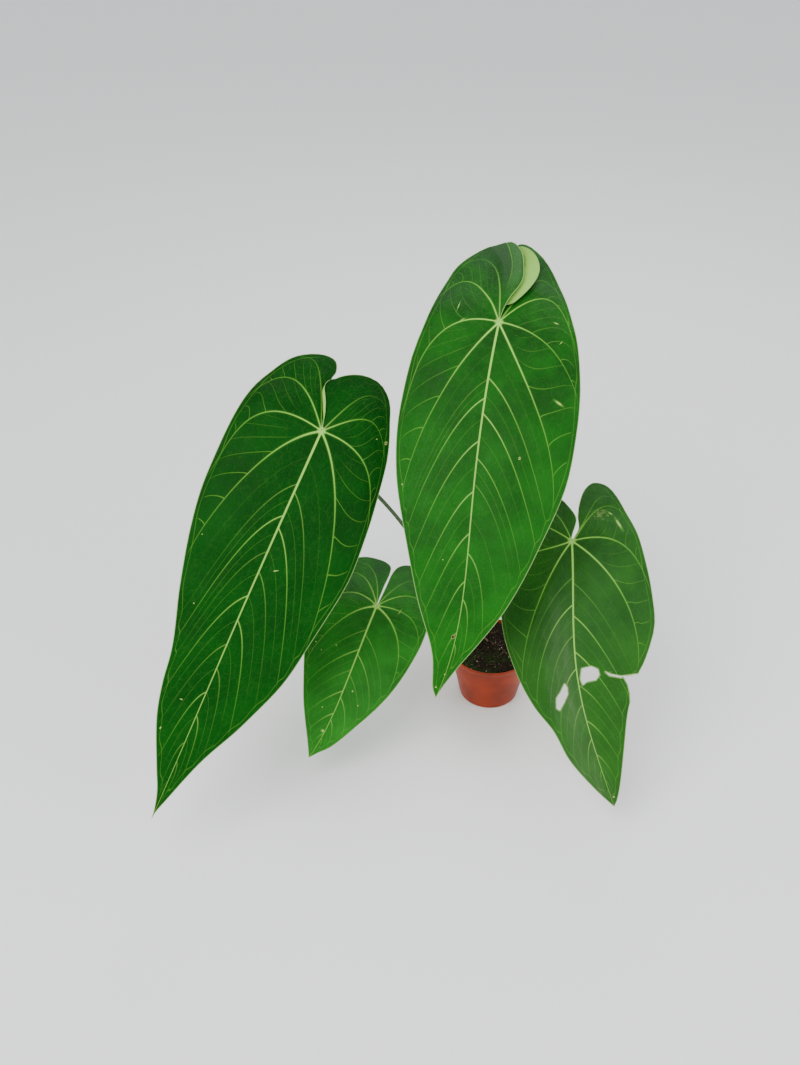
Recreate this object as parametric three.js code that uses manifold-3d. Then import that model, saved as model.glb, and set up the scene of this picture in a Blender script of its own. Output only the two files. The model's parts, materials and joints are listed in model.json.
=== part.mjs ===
// A potted anthurium hybrid: four long heart-shaped leaves on slim stalks, from one short stem,
// in a small terracotta-coloured plastic pot.
// Millimetres, +Z up. The origin is the centre of the pot's base, and the blades face -Y.
import * as THREE from "three";
import { mergeVertices } from "three/addons/utils/BufferGeometryUtils.js";
import Module from "manifold-3d";

// The pot, its soil and the short stem
const RIM_RADIUS = 70;
const BASE_RADIUS = 49;
const POT_HEIGHT = 98;
const POT_WALL = 1.6;
const POT_FLOOR = 2.4;
const RIM_BEAD = 1.2;
const DRAIN_HOLES = 6;
const DRAIN_RADIUS = 4;
const DRAIN_CIRCLE = 36;
const SOIL_DROP = 5;
const SOIL_MOUND = 6;
const SOIL_LUMP = 1.8;
const STEM_PLACE = [-24, 20];
const STEM_RADIUS = 11;
const STEM_BOTTOM = 62;
const STEM_TOP = 122;
const ROOT_RADIUS = 2.2;

// Clearance between pieces that touch, and the sheet that every blade is made of
const GAP = 0.3;
const BLADE_THICKNESS = 0.7;
const MIDRIB_HALF_WIDTH = 3;
const MIDRIB_CREST = 0.9;
const MIDRIB_KEEL = 1.8;
const VEIN_CREST = 0.3;
const VEIN_KEEL = 0.6;
const QUILT = 1.8;
const STALK_TOP_RADIUS = 3;
const STALK_BASE_RADIUS = 4.5;
const KNEE_RADIUS = 4.4;
const KNEE_LENGTH = 26;

// Shares of a line from the midrib to the margin where a blade's mesh has a row
const ROWS = [0.07, 0.16, 0.28, 0.44, 0.62, 0.81, 1];

// Each half has four main veins from the joint, listed from the rear lobe to beside the midrib as
// [angle, reach, pull, end]. angle is measured from the midrib's direction, reach and pull are how
// far the vein keeps its first and last direction (in rear lobe lengths for the first two, else
// in half widths), and end is where it meets the outer margin, as a share of the blade's length.
// The lean is the angle between a vein and the margin that it meets.
const BASAL_LEANS = [20, 10, 12, 12];
const REAR_VEIN_SPACING = 14;
const SINUS_START = 5;
const SINUS_CLEARANCE = 8;
// Where the rolled strip starts along the sinus edge, and how fast it curls up at each end
const LIP_START = 0.05;
const LIP_OPENING = 3.5;
const LIP_CLOSING = 2.5;
const LATERAL = { angle: 52, reach: 0.6, pull: 0.42, lean: 30 };
const LATERAL_END = 0.45;
const LATERAL_END_GROWTH = 0.61;

// Each blade lies flat as x across from the midrib and y along it, from the joint (0, 0) to the
// tip, with the rear lobes at negative y. margin lists the outline of each half with x counted
// outwards, from the sinus round the rear lobe to the tip. laterals are where the side veins
// leave the midrib, as shares of the length.
// aim is the midrib's heading at the joint in degrees: turned from -Y towards +X, then down.
// bend, veer and the fold and curl of each half vary along the midrib.
const LEAVES = {
  centre: {
    joint: [-11, 51, 664],
    aim: [-14.4, 30],
    roll: 3,
    bend: [42, 34, 36],
    veer: [11, 9, -91],
    rearBend: 20,
    stalk: { foot: [-22.5, 28, 114], bow: [14, 44, 430] },
    halves: {
      left: {
        margin: [
          [0, 0], [-2, -14], [-10, -36], [-21, -68], [-18, -98], [-9, -128], [14, -158],
          [40, -152], [65, -128], [83, -101], [94, -62], [102, -5], [114, 70], [119, 155],
          [112, 232], [86, 334], [61, 415], [26, 489], [10, 536], [0, 549],
        ],
        apex: 5,
        veins: [
          [173, 0.62, 0.5, -0.17],
          [152, 0.73, 0.38, -0.04],
          [94, 0.84, 0.81, 0.333],
          [33, 0.8, 0.68, 0.522],
        ],
        laterals: [0.17, 0.22, 0.335, 0.465, 0.57, 0.69, 0.82],
        fold: [6, 4, 8],
        curl: [16, 16, 10],
        inner: { rise: 19, reach: 40 },
        wave: [[2.5, 230, 0.1], [1.2, 90, 0.4]],
      },
      right: {
        margin: [
          [0, 0], [2, -14], [9, -40], [16, -76], [19, -108], [13, -138], [1, -163], [12, -165],
          [34, -148], [56, -120], [75, -86], [100, -28], [119, 28], [130, 87], [133, 155],
          [126, 236], [96, 326], [63, 403], [33, 458], [14, 496], [3, 530], [0, 549],
        ],
        apex: 6,
        veins: [
          [168, 0.85, 0.4, -0.1],
          [152, 0.74, 0.72, 0.1],
          [85, 0.3, 0.73, 0.22],
          [31, 1.09, 0.72, 0.53],
        ],
        laterals: [0.165, 0.262, 0.38, 0.445, 0.62, 0.735, 0.85],
        fold: [6, 4, 8],
        curl: [16, 16, 10],
        lip: { width: 31, radius: 2.6, turn: 168 },
        wave: [[3, 190, 0.35], [1.5, 80, 0]],
      },
    },
  },
  left: {
    joint: [-263, -49, 544],
    aim: [-26.5, 34],
    roll: 28,
    bend: [34, 30, 26],
    veer: [0, 3, -5],
    rearBend: 20,
    stalk: { foot: [-31, 24.4, 112], bow: [-152, 2, 352] },
    halves: {
      left: {
        margin: [
          [0, 0], [2, -8], [5, -24], [9, -48], [14, -70], [17, -84], [15, -98], [23, -117], [44, -120],
          [79, -101], [107, -53], [121, 5], [124, 60], [121, 145], [110, 207], [90, 286],
          [68, 360], [61, 410], [50, 458], [23, 527], [9, 561], [2, 590], [0, 606],
        ],
        apex: 6,
        veins: [
          [167, 1.03, 0.37, -0.158],
          [142, 0.88, 0.84, 0.024],
          [101, 0.95, 0.71, 0.228],
          [58, 0.63, 0.52, 0.412],
        ],
        laterals: [0.14, 0.22, 0.31, 0.42, 0.54, 0.66, 0.79],
        fold: [4, 4, 8],
        curl: [18, 16, 8],
        inner: { rise: -3, reach: 30 },
        wave: [[3, 210, 0.2], [1.5, 75, 0.5]],
      },
      right: {
        margin: [
          [0, 0], [-1, -12], [-12, -36], [-21, -60], [-13, -82], [3, -101], [23, -114], [50, -116],
          [71, -99], [87, -60], [99, -24], [111, 38], [119, 105], [122, 180], [109, 270],
          [95, 345], [65, 423], [31, 498], [8, 571], [2, 592], [0, 606],
        ],
        apex: 4,
        veins: [
          [159, 0.51, 0.55, -0.12],
          [136, 0.49, 0.97, 0.03],
          [94, 0.75, 0.53, 0.19],
          [48, 0.85, 0.63, 0.51],
        ],
        laterals: [0.16, 0.25, 0.36, 0.48, 0.6, 0.72, 0.84],
        fold: [4, 4, 8],
        curl: [18, 16, 8],
        inner: { rise: 6, reach: 20 },
        lip: { width: 7, radius: 1.6, turn: 150 },
        wave: [[2.5, 240, 0.45], [1.5, 85, 0.1]],
      },
    },
  },
  right: {
    joint: [105, -64, 362],
    aim: [0.4, 32],
    roll: -12,
    bend: [44, 36, 40],
    veer: [-36, 49, -14],
    rearBend: 20,
    stalk: { foot: [-16.3, 17.2, 112], bow: [62, -14, 250] },
    halves: {
      left: {
        margin: [
          [0, 0], [-1, -8], [-9, -35], [-6, -46], [2, -60], [12, -74], [26, -82], [46, -82],
          [70, -66], [92, -30], [104, 15], [110, 70], [106, 132], [90, 188], [71, 235], [51, 272],
          [40, 319], [19, 370], [5, 398], [0, 407],
        ],
        apex: 4,
        veins: [
          [163, 1.01, 0.47, -0.113],
          [128, 0.76, 0.61, -0.033],
          [69, 0.59, 0.64, 0.18],
          [40, 0.7, 0.15, 0.515],
        ],
        laterals: [0.14, 0.24, 0.35, 0.47, 0.6, 0.73, 0.85],
        fold: [6, 5, 8],
        curl: [20, 18, 10],
        wave: [[2, 160, 0.3], [1, 60, 0]],
      },
      right: {
        margin: [
          [0, 0], [4, -6], [11, -18], [11, -40], [15, -65], [24, -90], [36, -103], [48, -103],
          [62, -94], [89, -35], [106, 28], [116, 84], [118, 130], [101, 186], [87, 212], [75, 240],
          [62, 268], [43, 318], [19, 375], [7, 398], [0, 407],
        ],
        apex: 5,
        veins: [
          [171, 0.79, 0.6, -0.15],
          [130, 0.25, 0.83, -0.07],
          [99, 0.63, 0.61, 0.222],
          [51, 0.96, 0.61, 0.525],
        ],
        laterals: [0.16, 0.28, 0.41, 0.53, 0.66, 0.79, 0.89],
        fold: [6, 5, 8],
        curl: [20, 18, 10],
        wave: [[2, 150, 0.1], [1.2, 66, 0.3]],
      },
    },
  },
  low: {
    joint: [-189, -44, 219],
    aim: [-19.6, 16],
    roll: 12,
    bend: [50, 40, 40],
    veer: [3, -8, -58],
    rearBend: 20,
    stalk: { foot: [-30, 14.4, 110], bow: [-88, -24, 186] },
    halves: {
      left: {
        margin: [
          [0, 0], [0.6, -10], [1.5, -40], [1.5, -72], [5, -88], [16, -96], [33, -98], [50, -97],
          [66, -88], [84, -56], [92, -12], [93, 30], [88, 80], [77, 119], [64, 154], [50, 188],
          [32, 219], [12, 248], [0, 264],
        ],
        apex: 4,
        veins: [
          [166, 1.1, 0.2, -0.26],
          [150, 0.96, 0.73, 0.02],
          [119, 0.76, 0.81, 0.36],
          [64, 0.54, 0.41, 0.52],
        ],
        laterals: [0.17, 0.3, 0.43, 0.56, 0.7, 0.83],
        fold: [6, 5, 8],
        curl: [22, 20, 10],
        wave: [[1.5, 120, 0.2], [0.8, 50, 0]],
      },
      right: {
        margin: [
          [0, 0], [0.6, -10], [1.5, -40], [2, -76], [7, -95], [17, -106], [32, -111], [50, -104],
          [68, -84], [82, -45], [88, 0], [88, 38], [83, 75], [74, 114], [60, 150], [39, 191],
          [19, 232], [7, 250], [0, 264],
        ],
        apex: 4,
        veins: [
          [163, 0.64, 0.47, -0.25],
          [145, 0.78, 0.48, 0.04],
          [104, 0.46, 0.7, 0.21],
          [68, 0.61, 0.79, 0.54],
        ],
        laterals: [0.2, 0.33, 0.46, 0.6, 0.74, 0.86],
        fold: [6, 5, 8],
        curl: [22, 20, 10],
        wave: [[1.5, 130, 0.4], [0.8, 55, 0.2]],
      },
    },
  },
};

// Two holes, a tear and its missing corner in the right leaf, as outlines on its flat blade (x to the right)
const LEAF_DAMAGE = {
  holeBesideMidrib: [[8, 192], [22, 190], [31, 195], [32, 204], [26, 211], [12, 212], [6, 216],
    [4, 207]],
  holeInLeftHalf: [[-20, 211], [-17, 216], [-18, 226], [-26, 237], [-34, 246], [-38, 243],
    [-35, 229], [-27, 221]],
  tearFromEdge: [[100, 214.5], [62, 213], [46, 207], [41, 200], [47, 204.5], [62, 210.5],
    [100, 211]],
  tornCorner: [[100, 212], [66, 212.5], [69, 228], [69, 244], [100, 250]],
};

const wasm = await Module();
wasm.setup();

const radians = THREE.MathUtils.degToRad;
const smooth = (t) => THREE.MathUtils.smoothstep(t, 0, 1);
const lerp = THREE.MathUtils.lerp;

// A fixed sequence of numbers from 0 to 1
function seededRandom(seed) {
  let state = seed;
  return () => {
    state = (state * 1664525 + 1013904223) % 4294967296;
    return state / 4294967296;
  };
}

// Straight-line reading of values spread evenly over 0 to 1
function spread(values, share) {
  const place = THREE.MathUtils.clamp(share, 0, 1) * (values.length - 1);
  const index = Math.min(Math.floor(place), values.length - 2);
  return lerp(values[index], values[index + 1], place - index);
}

// Where a rising list of numbers reaches the given one, as an index with its fraction
function indexAt(values, target) {
  const index = THREE.MathUtils.clamp(values.findIndex((v) => v >= target), 1, values.length - 1);
  return index - 1 + (target - values[index - 1]) / (values[index] - values[index - 1]);
}

// The share of a line's length that lies before each of its points
function progress(points) {
  const lengths = [0];
  for (let i = 1; i < points.length; i++) {
    lengths.push(lengths[i - 1] + points[i].distanceTo(points[i - 1]));
  }
  return lengths.map((length) => length / lengths.at(-1));
}

// A point on a cubic curve with four control points
function bezier(points, share) {
  const rest = 1 - share;
  return new THREE.Vector3()
    .addScaledVector(points[0], rest ** 3)
    .addScaledVector(points[1], 3 * rest * rest * share)
    .addScaledVector(points[2], 3 * rest * share * share)
    .addScaledVector(points[3], share ** 3);
}

function toSolid(geometry) {
  const bare = geometry.clone();
  bare.deleteAttribute("normal");
  bare.deleteAttribute("uv");
  const merged = mergeVertices(bare, 1e-3);
  return new wasm.Manifold(
    new wasm.Mesh({
      numProp: 3,
      vertProperties: new Float32Array(merged.attributes.position.array),
      triVerts: new Uint32Array(merged.index.array),
    }),
  );
}

// The largest of a solid's separate bodies
function mainBody(solid) {
  return solid.decompose().sort((a, b) => b.volume() - a.volume())[0];
}

function toGeometry(solid) {
  const mesh = solid.getMesh();
  const geometry = new THREE.BufferGeometry();
  geometry.setAttribute("position", new THREE.BufferAttribute(mesh.vertProperties, 3));
  geometry.setIndex(new THREE.BufferAttribute(mesh.triVerts, 1));
  return geometry;
}

// A closed mesh from rows of points that each run round a rod, with a fan over both ends
function loftedRod(rings) {
  const sides = rings[0].length;
  const points = rings.flat();
  const faces = [];
  for (let i = 0; i < rings.length - 1; i++) {
    for (let j = 0; j < sides; j++) {
      const a = i * sides + j;
      const b = i * sides + ((j + 1) % sides);
      faces.push(a, b, b + sides, a, b + sides, a + sides);
    }
  }
  const centreOf = (ring) =>
    ring.reduce((sum, p) => sum.add(p), new THREE.Vector3()).divideScalar(sides);
  const first = points.length;
  points.push(centreOf(rings[0]), centreOf(rings[rings.length - 1]));
  const lastRing = (rings.length - 1) * sides;
  for (let j = 0; j < sides; j++) {
    const next = (j + 1) % sides;
    faces.push(first, next, j);
    faces.push(first + 1, lastRing + j, lastRing + next);
  }
  const geometry = new THREE.BufferGeometry().setFromPoints(points);
  geometry.setIndex(faces);
  return geometry;
}

// A round rod along a curve, with its radius given at each share of the curve
function rodAlong(curve, steps, sides, radiusAt) {
  const frames = curve.computeFrenetFrames(steps, false);
  const rings = [];
  for (let i = 0; i <= steps; i++) {
    const centre = curve.getPointAt(i / steps);
    const radius = radiusAt(i / steps);
    const ring = [];
    for (let j = 0; j < sides; j++) {
      const turn = (2 * Math.PI * j) / sides;
      ring.push(
        centre
          .clone()
          .addScaledVector(frames.normals[i], radius * Math.cos(turn))
          .addScaledVector(frames.binormals[i], radius * Math.sin(turn)),
      );
    }
    rings.push(ring);
  }
  return loftedRod(rings);
}

// The midrib in space: a place and three directions at each distance from the joint
class Midrib {
  constructor(leaf, length, lobe) {
    const [heading, drop] = leaf.aim.map(radians);
    const along = new THREE.Vector3(
      Math.sin(heading) * Math.cos(drop),
      -Math.cos(heading) * Math.cos(drop),
      -Math.sin(drop),
    );
    const up = new THREE.Vector3(
      Math.sin(heading) * Math.sin(drop),
      -Math.cos(heading) * Math.sin(drop),
      Math.cos(drop),
    );
    const side = up.clone().cross(along);
    up.applyAxisAngle(along, -radians(leaf.roll));
    side.applyAxisAngle(along, -radians(leaf.roll));
    this.length = length;
    this.lobe = lobe;
    const start = { place: new THREE.Vector3(...leaf.joint), along, up, side };
    this.forward = this.march(start, length, 1, leaf.bend, leaf.veer);
    this.rearward = this.march(start, lobe, -1, [leaf.rearBend, leaf.rearBend], [0, 0]);
  }

  march(start, total, sign, bend, veer) {
    const steps = 240;
    const stride = (total / steps) * sign;
    const place = start.place.clone();
    const along = start.along.clone();
    const up = start.up.clone();
    const side = start.side.clone();
    const rows = [start];
    for (let i = 0; i < steps; i++) {
      const share = (i + 0.5) / steps;
      const droop = (radians(spread(bend, share)) / total) * stride;
      const turn = (radians(spread(veer, share)) / total) * stride;
      const newAlong = along.clone().multiplyScalar(Math.cos(droop))
        .addScaledVector(up, -Math.sin(droop));
      up.multiplyScalar(Math.cos(droop)).addScaledVector(along, Math.sin(droop));
      along.copy(newAlong).multiplyScalar(Math.cos(turn)).addScaledVector(side, Math.sin(turn));
      side.multiplyScalar(Math.cos(turn)).addScaledVector(newAlong, -Math.sin(turn));
      place.addScaledVector(along, stride);
      rows.push({ place: place.clone(), along: along.clone(), up: up.clone(), side: side.clone() });
    }
    return rows;
  }

  at(y) {
    const rows = y < 0 ? this.rearward : this.forward;
    const total = y < 0 ? this.lobe : this.length;
    const distance = Math.abs(y);
    const place = (Math.min(distance, total) / total) * (rows.length - 1);
    const index = Math.min(Math.floor(place), rows.length - 2);
    const share = place - index;
    const mix = (key) => rows[index][key].clone().lerp(rows[index + 1][key], share);
    const frame = { place: mix("place"), along: mix("along"), up: mix("up"), side: mix("side") };
    frame.place.addScaledVector(frame.along, Math.sign(y) * Math.max(distance - total, 0));
    return frame;
  }
}

// One half of a blade, with x counted outwards from the midrib
class HalfBlade {
  constructor(shape, direction, length) {
    this.shape = shape;
    this.direction = direction;
    this.length = length;
    const curve = new THREE.CatmullRomCurve3(
      shape.margin.map(([x, y]) => new THREE.Vector3(x, y, 0)),
      false,
      "centripetal",
    );
    this.outline = curve.getPoints(60 * (shape.margin.length - 1));
    this.apexIndex = 60 * shape.apex;
    this.lobe = -Math.min(...this.outline.map((p) => p.y));
    this.width = Math.max(...this.outline.map((p) => p.x));
    const rearAngle = this.clearRearAngle();
    const basal = shape.veins.map(([wanted, reach, pull, end], index) => {
      const size = index < 2 ? this.lobe : this.width;
      const angle = Math.min(wanted, rearAngle - index * REAR_VEIN_SPACING);
      return {
        angle,
        origin: 0,
        reach: reach * size * (angle / wanted) ** 2,
        pull: pull * size,
        end: end * length,
        lean: BASAL_LEANS[index],
      };
    });
    const laterals = [...shape.laterals, 1].map((share) => ({
      ...LATERAL,
      origin: share * length,
      end: Math.min(LATERAL_END + LATERAL_END_GROWTH * share, 1) * length,
      reach: LATERAL.reach * this.width * (1 - share),
      pull: LATERAL.pull * this.width * (1 - share),
    }));
    this.veins = [...basal, ...laterals].map((vein) => this.route(vein));
    const steps = 60;
    const rear = this.veins[0].points;
    this.rearProgress = progress(Array.from({ length: steps + 1 }, (_, i) => bezier(rear, i / steps)));
    this.sinusProgress = progress(this.outline.slice(0, this.apexIndex + 1));
  }

  // The direction of a rear vein that stays off the sinus edge
  clearRearAngle() {
    const edge = this.outline.filter((p, i) =>
      i < this.apexIndex && p.y < -SINUS_START && p.y > -this.lobe / 2);
    return 180 - SINUS_CLEARANCE - Math.max(...edge.map((p) => Math.atan2(p.x, -p.y) * 180 / Math.PI));
  }

  // The outline index on the outer margin at the given y
  outerIndex(y) {
    const { outline } = this;
    for (let i = this.apexIndex; i < outline.length - 1; i++) {
      if (outline[i + 1].y >= y) {
        return i + THREE.MathUtils.clamp((y - outline[i].y) / (outline[i + 1].y - outline[i].y), 0, 1);
      }
    }
    return outline.length - 1;
  }

  outlineAt(index) {
    const whole = Math.min(Math.floor(index), this.outline.length - 2);
    return this.outline[whole].clone().lerp(this.outline[whole + 1], index - whole);
  }

  // A vein as a curve's four control points, the last one on the margin
  route(vein) {
    const end = this.outerIndex(vein.end);
    const last = this.outlineAt(end);
    const heading = this.outlineAt(Math.min(end + 90, this.outline.length - 1))
      .sub(this.outlineAt(Math.max(end - 90, 0)))
      .normalize();
    const lean = radians(vein.lean);
    const arrival = new THREE.Vector3(
      heading.x * Math.cos(lean) + heading.y * Math.sin(lean),
      heading.y * Math.cos(lean) - heading.x * Math.sin(lean),
      0,
    );
    const angle = radians(vein.angle);
    const first = new THREE.Vector3(0, vein.origin, 0);
    return {
      end,
      points: [
        first,
        first.clone().add(new THREE.Vector3(Math.sin(angle), Math.cos(angle), 0)
          .multiplyScalar(vein.reach)),
        last.clone().addScaledVector(arrival, -vein.pull),
        last,
      ],
    };
  }

  // The vein number at a distance along the midrib
  veinAt(y) {
    const stations = [0, ...this.shape.laterals.map((share) => share * this.length), this.length];
    for (let i = 0; i < stations.length - 1; i++) {
      if (y <= stations[i + 1]) {
        return BASAL_LEANS.length + i + (y - stations[i]) / (stations[i + 1] - stations[i]);
      }
    }
    return BASAL_LEANS.length + stations.length - 1;
  }

  // A flat point: number counts the veins from 0 at the sinus edge, with 1 the rearmost vein,
  // and share runs from the midrib or joint to the margin
  flatPoint(number, share) {
    if (number < 1) {
      const rear = this.veins[0];
      const end = this.outlineAt(lerp(this.apexIndex, rear.end, number));
      const apex = this.outlineAt(this.apexIndex);
      const along = indexAt(this.sinusProgress, spread(this.rearProgress, share));
      const edge = this.outlineAt(along).addScaledVector(end.clone().sub(apex), share ** 2);
      const vein = bezier(rear.points, share)
        .addScaledVector(end.clone().sub(rear.points[3]), share ** 2);
      return edge.lerp(vein, number);
    }
    const index = Math.min(Math.floor(number) - 1, this.veins.length - 2);
    const [one, two] = [this.veins[index], this.veins[index + 1]];
    const mix = number - 1 - index;
    const points = one.points.map((p, i) => p.clone().lerp(two.points[i], mix));
    points[3] = this.outlineAt(lerp(one.end, two.end, mix));
    return bezier(points, share);
  }

  // The place in space of a flat point
  place(midrib, x, y) {
    const { shape, direction } = this;
    const rear = Math.max(-y / this.lobe, 0);
    const slope = radians(spread(shape.fold, y / this.length)) * (1 - Math.min(rear * 2, 1));
    const curl = radians(spread(shape.curl, y / this.length)) / 100;
    const outwards = (Math.sin(slope) - Math.sin(slope - curl * x)) / curl;
    let lift = (Math.cos(slope - curl * x) - Math.cos(slope)) / curl;
    if (shape.inner) {
      const { rise, reach } = shape.inner;
      lift += rise * smooth(rear / 0.22) * smooth((reach - x) / 45);
    }
    for (const [height, spacing, phase] of shape.wave) {
      const edge = smooth(x / this.width);
      lift += height * edge * Math.sin(2 * Math.PI * (y / spacing + phase));
    }
    const frame = midrib.at(y);
    return frame.place
      .addScaledVector(frame.side, outwards * direction)
      .addScaledVector(frame.up, lift);
  }

  normal(midrib, x, y) {
    if (x === 0 && y >= 0) return midrib.at(y).up;
    const step = 0.2;
    const alongX = this.place(midrib, x + step, y).sub(this.place(midrib, x - step, y));
    const alongY = this.place(midrib, x, y + step).sub(this.place(midrib, x, y - step));
    return alongX.cross(alongY).multiplyScalar(-this.direction).normalize();
  }

  // A point and its normal on the strip that the sinus edge is rolled back by, where number runs
  // from 0 on the fold to -1 on the strip's free edge
  lipPoint(midrib, number, share) {
    const { width, radius, turn } = this.shape.lip;
    const flat = this.flatPoint(0, share);
    const step = 0.005;
    const [before, after] = [-step, step].map((move) => {
      const near = this.flatPoint(0, THREE.MathUtils.clamp(share + move, 0, 1));
      return this.place(midrib, near.x, near.y);
    });
    const up = this.normal(midrib, flat.x, flat.y);
    const off = up.clone().cross(after.sub(before)).multiplyScalar(this.direction).normalize();
    const rolled = Math.max(spread(this.rearProgress, share) - LIP_START, 0) / (1 - LIP_START);
    const reach = -number * width * Math.sin(Math.PI * rolled);
    const open = Math.min(LIP_OPENING * rolled, LIP_CLOSING * (1 - rolled), 1);
    const angle = Math.min(reach / radius, radians(turn) * open);
    const rest = reach - radius * angle;
    const centre = this.place(midrib, flat.x, flat.y)
      .addScaledVector(off, radius * Math.sin(angle) + rest * Math.cos(angle))
      .addScaledVector(up, radius * (1 - Math.cos(angle)) + rest * Math.sin(angle));
    const normal = up.multiplyScalar(Math.cos(angle)).addScaledVector(off, -Math.sin(angle));
    return { centre, normal };
  }
}

// Both halves of a leaf's blade
function unfoldLeaf(leaf) {
  const length = leaf.halves.left.margin.at(-1)[1];
  const left = new HalfBlade(leaf.halves.left, -1, length);
  const right = new HalfBlade(leaf.halves.right, 1, length);
  const midrib = new Midrib(leaf, length, Math.max(left.lobe, right.lobe));
  return { length, midrib, halves: [left, right] };
}

// Distances along the midrib where both halves have a line of the mesh
function midribStations(length, halves) {
  const stations = halves.flatMap((half) => half.shape.laterals.map((share) => share * length));
  stations.push(0, length, 0.93 * length, 0.97 * length);
  stations.sort((a, b) => a - b);
  return stations.flatMap((y, i) => {
    const next = stations[i + 1];
    return next && next - y > 0.04 * length ? [y, (y + next) / 2] : [y];
  });
}

// A closed blade: the same grid of triangles on its upper and lower face, and an edge round it
function bladeGeometry({ length, midrib, halves }) {
  const lateralLines = midribStations(length, halves);
  const triangles = [];
  for (const half of halves) {
    const lipLines = half.shape.lip ? [-1, -0.7, -0.45, -0.3, -0.15] : [];
    const rearLines = [...lipLines, 0, 0.09, 0.2, 0.32, 0.45, 0.6, 0.75, 0.88];
    const basalLines = [1, 1.35, 1.7, 2, 2.3, 2.6, 3, 3.3, 3.65];
    const lines = [...rearLines, ...basalLines].map((number) => ({ number, y: 0 }));
    lines.push(...lateralLines.map((y) => ({ number: half.veinAt(y), y })));
    const grid = lines.map(({ number, y }) => {
      const [inner, outer] = [0, 1].map((share) => half.flatPoint(Math.max(number, 0), share));
      const span = Math.max(outer.distanceTo(inner), 1);
      const ribShare = Math.min(MIDRIB_HALF_WIDTH / span, 0.15);
      const shares = [0, ribShare, ...ROWS.map((row) => lerp(ribShare, 1, row))];
      return shares.map((share) => bladePoint(half, midrib, number, share, y));
    });
    const flip = half.direction < 0;
    const addTriangle = (a, b, c) => triangles.push(...(flip ? [a, b, c] : [a, c, b]));
    const addQuad = (a, b, c, d) => {
      addTriangle(a, b, c);
      addTriangle(a, c, d);
    };
    const rows = grid[0].length;
    for (let i = 0; i < grid.length - 1; i++) {
      for (let j = 0; j < rows - 1; j++) {
        const corners = [grid[i][j], grid[i][j + 1], grid[i + 1][j + 1], grid[i + 1][j]];
        const [p, q, r, s] = corners.map((corner) => corner.top);
        if (p.distanceTo(r) > q.distanceTo(s)) corners.push(corners.shift());
        addQuad(...corners.map((corner) => corner.top));
        const [a, b, c, d] = corners.map((corner) => corner.bottom);
        addTriangle(c, b, a);
        addTriangle(d, c, a);
      }
      const [from, to] = [grid[i][rows - 1], grid[i + 1][rows - 1]];
      addQuad(from.top, from.bottom, to.bottom, to.top);
    }
    for (let j = 0; j < rows - 1; j++) {
      const [from, to] = [grid[0][j], grid[0][j + 1]];
      addQuad(from.top, from.bottom, to.bottom, to.top);
    }
  }
  const geometry = new THREE.BufferGeometry().setFromPoints(triangles);
  return withoutSlivers(mergeVertices(geometry, 1e-3));
}

function bladePoint(half, midrib, number, share, y) {
  const onMidrib = share === 0 || y === half.length;
  const sheet = BLADE_THICKNESS / 2;
  if (number < 0 && !onMidrib) {
    const { centre, normal } = half.lipPoint(midrib, number, share);
    return {
      top: centre.clone().addScaledVector(normal, sheet),
      bottom: centre.clone().addScaledVector(normal, -sheet),
    };
  }
  const flat = onMidrib ? new THREE.Vector3(0, y, 0) : half.flatPoint(number, share);
  const centre = half.place(midrib, flat.x, flat.y);
  const normal = onMidrib ? midrib.at(y).up : half.normal(midrib, flat.x, flat.y);
  const taper = 1 - 0.8 * Math.max(flat.y, 0) / half.length;
  const onVein = Math.abs(number - Math.round(number)) < 0.02 && number > 0.5;
  const faded = onVein ? Math.max(1 - share, 0) : 0;
  const crest = onMidrib ? MIDRIB_CREST * taper : VEIN_CREST * faded;
  const keel = onMidrib ? MIDRIB_KEEL * taper : VEIN_KEEL * faded;
  const quilted = !onMidrib && number > 1;
  const swell = Math.sin(Math.PI * (number % 1)) * Math.sin(Math.PI * share) * (1 - share);
  const puff = quilted ? QUILT * taper * swell : 0;
  return {
    top: centre.clone().addScaledVector(normal, sheet + crest + puff),
    bottom: centre.clone().addScaledVector(normal, puff - sheet - keel),
  };
}

// Drops the triangles that have two corners in one place
function withoutSlivers(geometry) {
  const index = geometry.index.array;
  const kept = [];
  for (let i = 0; i < index.length; i += 3) {
    const [a, b, c] = [index[i], index[i + 1], index[i + 2]];
    if (a !== b && b !== c && c !== a) kept.push(a, b, c);
  }
  geometry.setIndex(kept);
  return geometry;
}

// A cutter through a blade along its outline, which is drawn on the flat blade
function damageCutter({ midrib, halves }, outline) {
  const depth = 12;
  const rings = [-1, 1].map((end) =>
    outline.map(([x, y]) => {
      const half = x < 0 ? halves[0] : halves[1];
      const point = half.place(midrib, Math.abs(x), y);
      return point.addScaledVector(half.normal(midrib, Math.abs(x), y), depth * end);
    }),
  );
  const solid = toSolid(loftedRod(rings));
  return solid.volume() < 0 ? toSolid(loftedRod(rings.reverse())) : solid;
}

// A leaf stalk, with the swollen knee where it meets the blade
function stalkGeometry(leaf, { midrib }) {
  const joint = midrib.at(0);
  const { foot, bow } = leaf.stalk;
  const drop = BLADE_THICKNESS / 2 + MIDRIB_KEEL + 1.5 * GAP;
  const top = joint.place.clone().addScaledVector(joint.up, -drop);
  const knee = top.clone().addScaledVector(joint.up, -16);
  const curve = new THREE.CatmullRomCurve3(
    [new THREE.Vector3(...foot), new THREE.Vector3(...bow), knee, top],
    false,
    "centripetal",
  );
  const length = curve.getLength();
  return rodAlong(curve, 26, 8, (share) => {
    const slim = lerp(STALK_BASE_RADIUS, STALK_TOP_RADIUS, Math.min(share * 2.5, 1));
    const kneeShare = 1 - ((1 - share) * length) / KNEE_LENGTH;
    return lerp(slim, KNEE_RADIUS, smooth(kneeShare * 2));
  });
}

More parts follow.
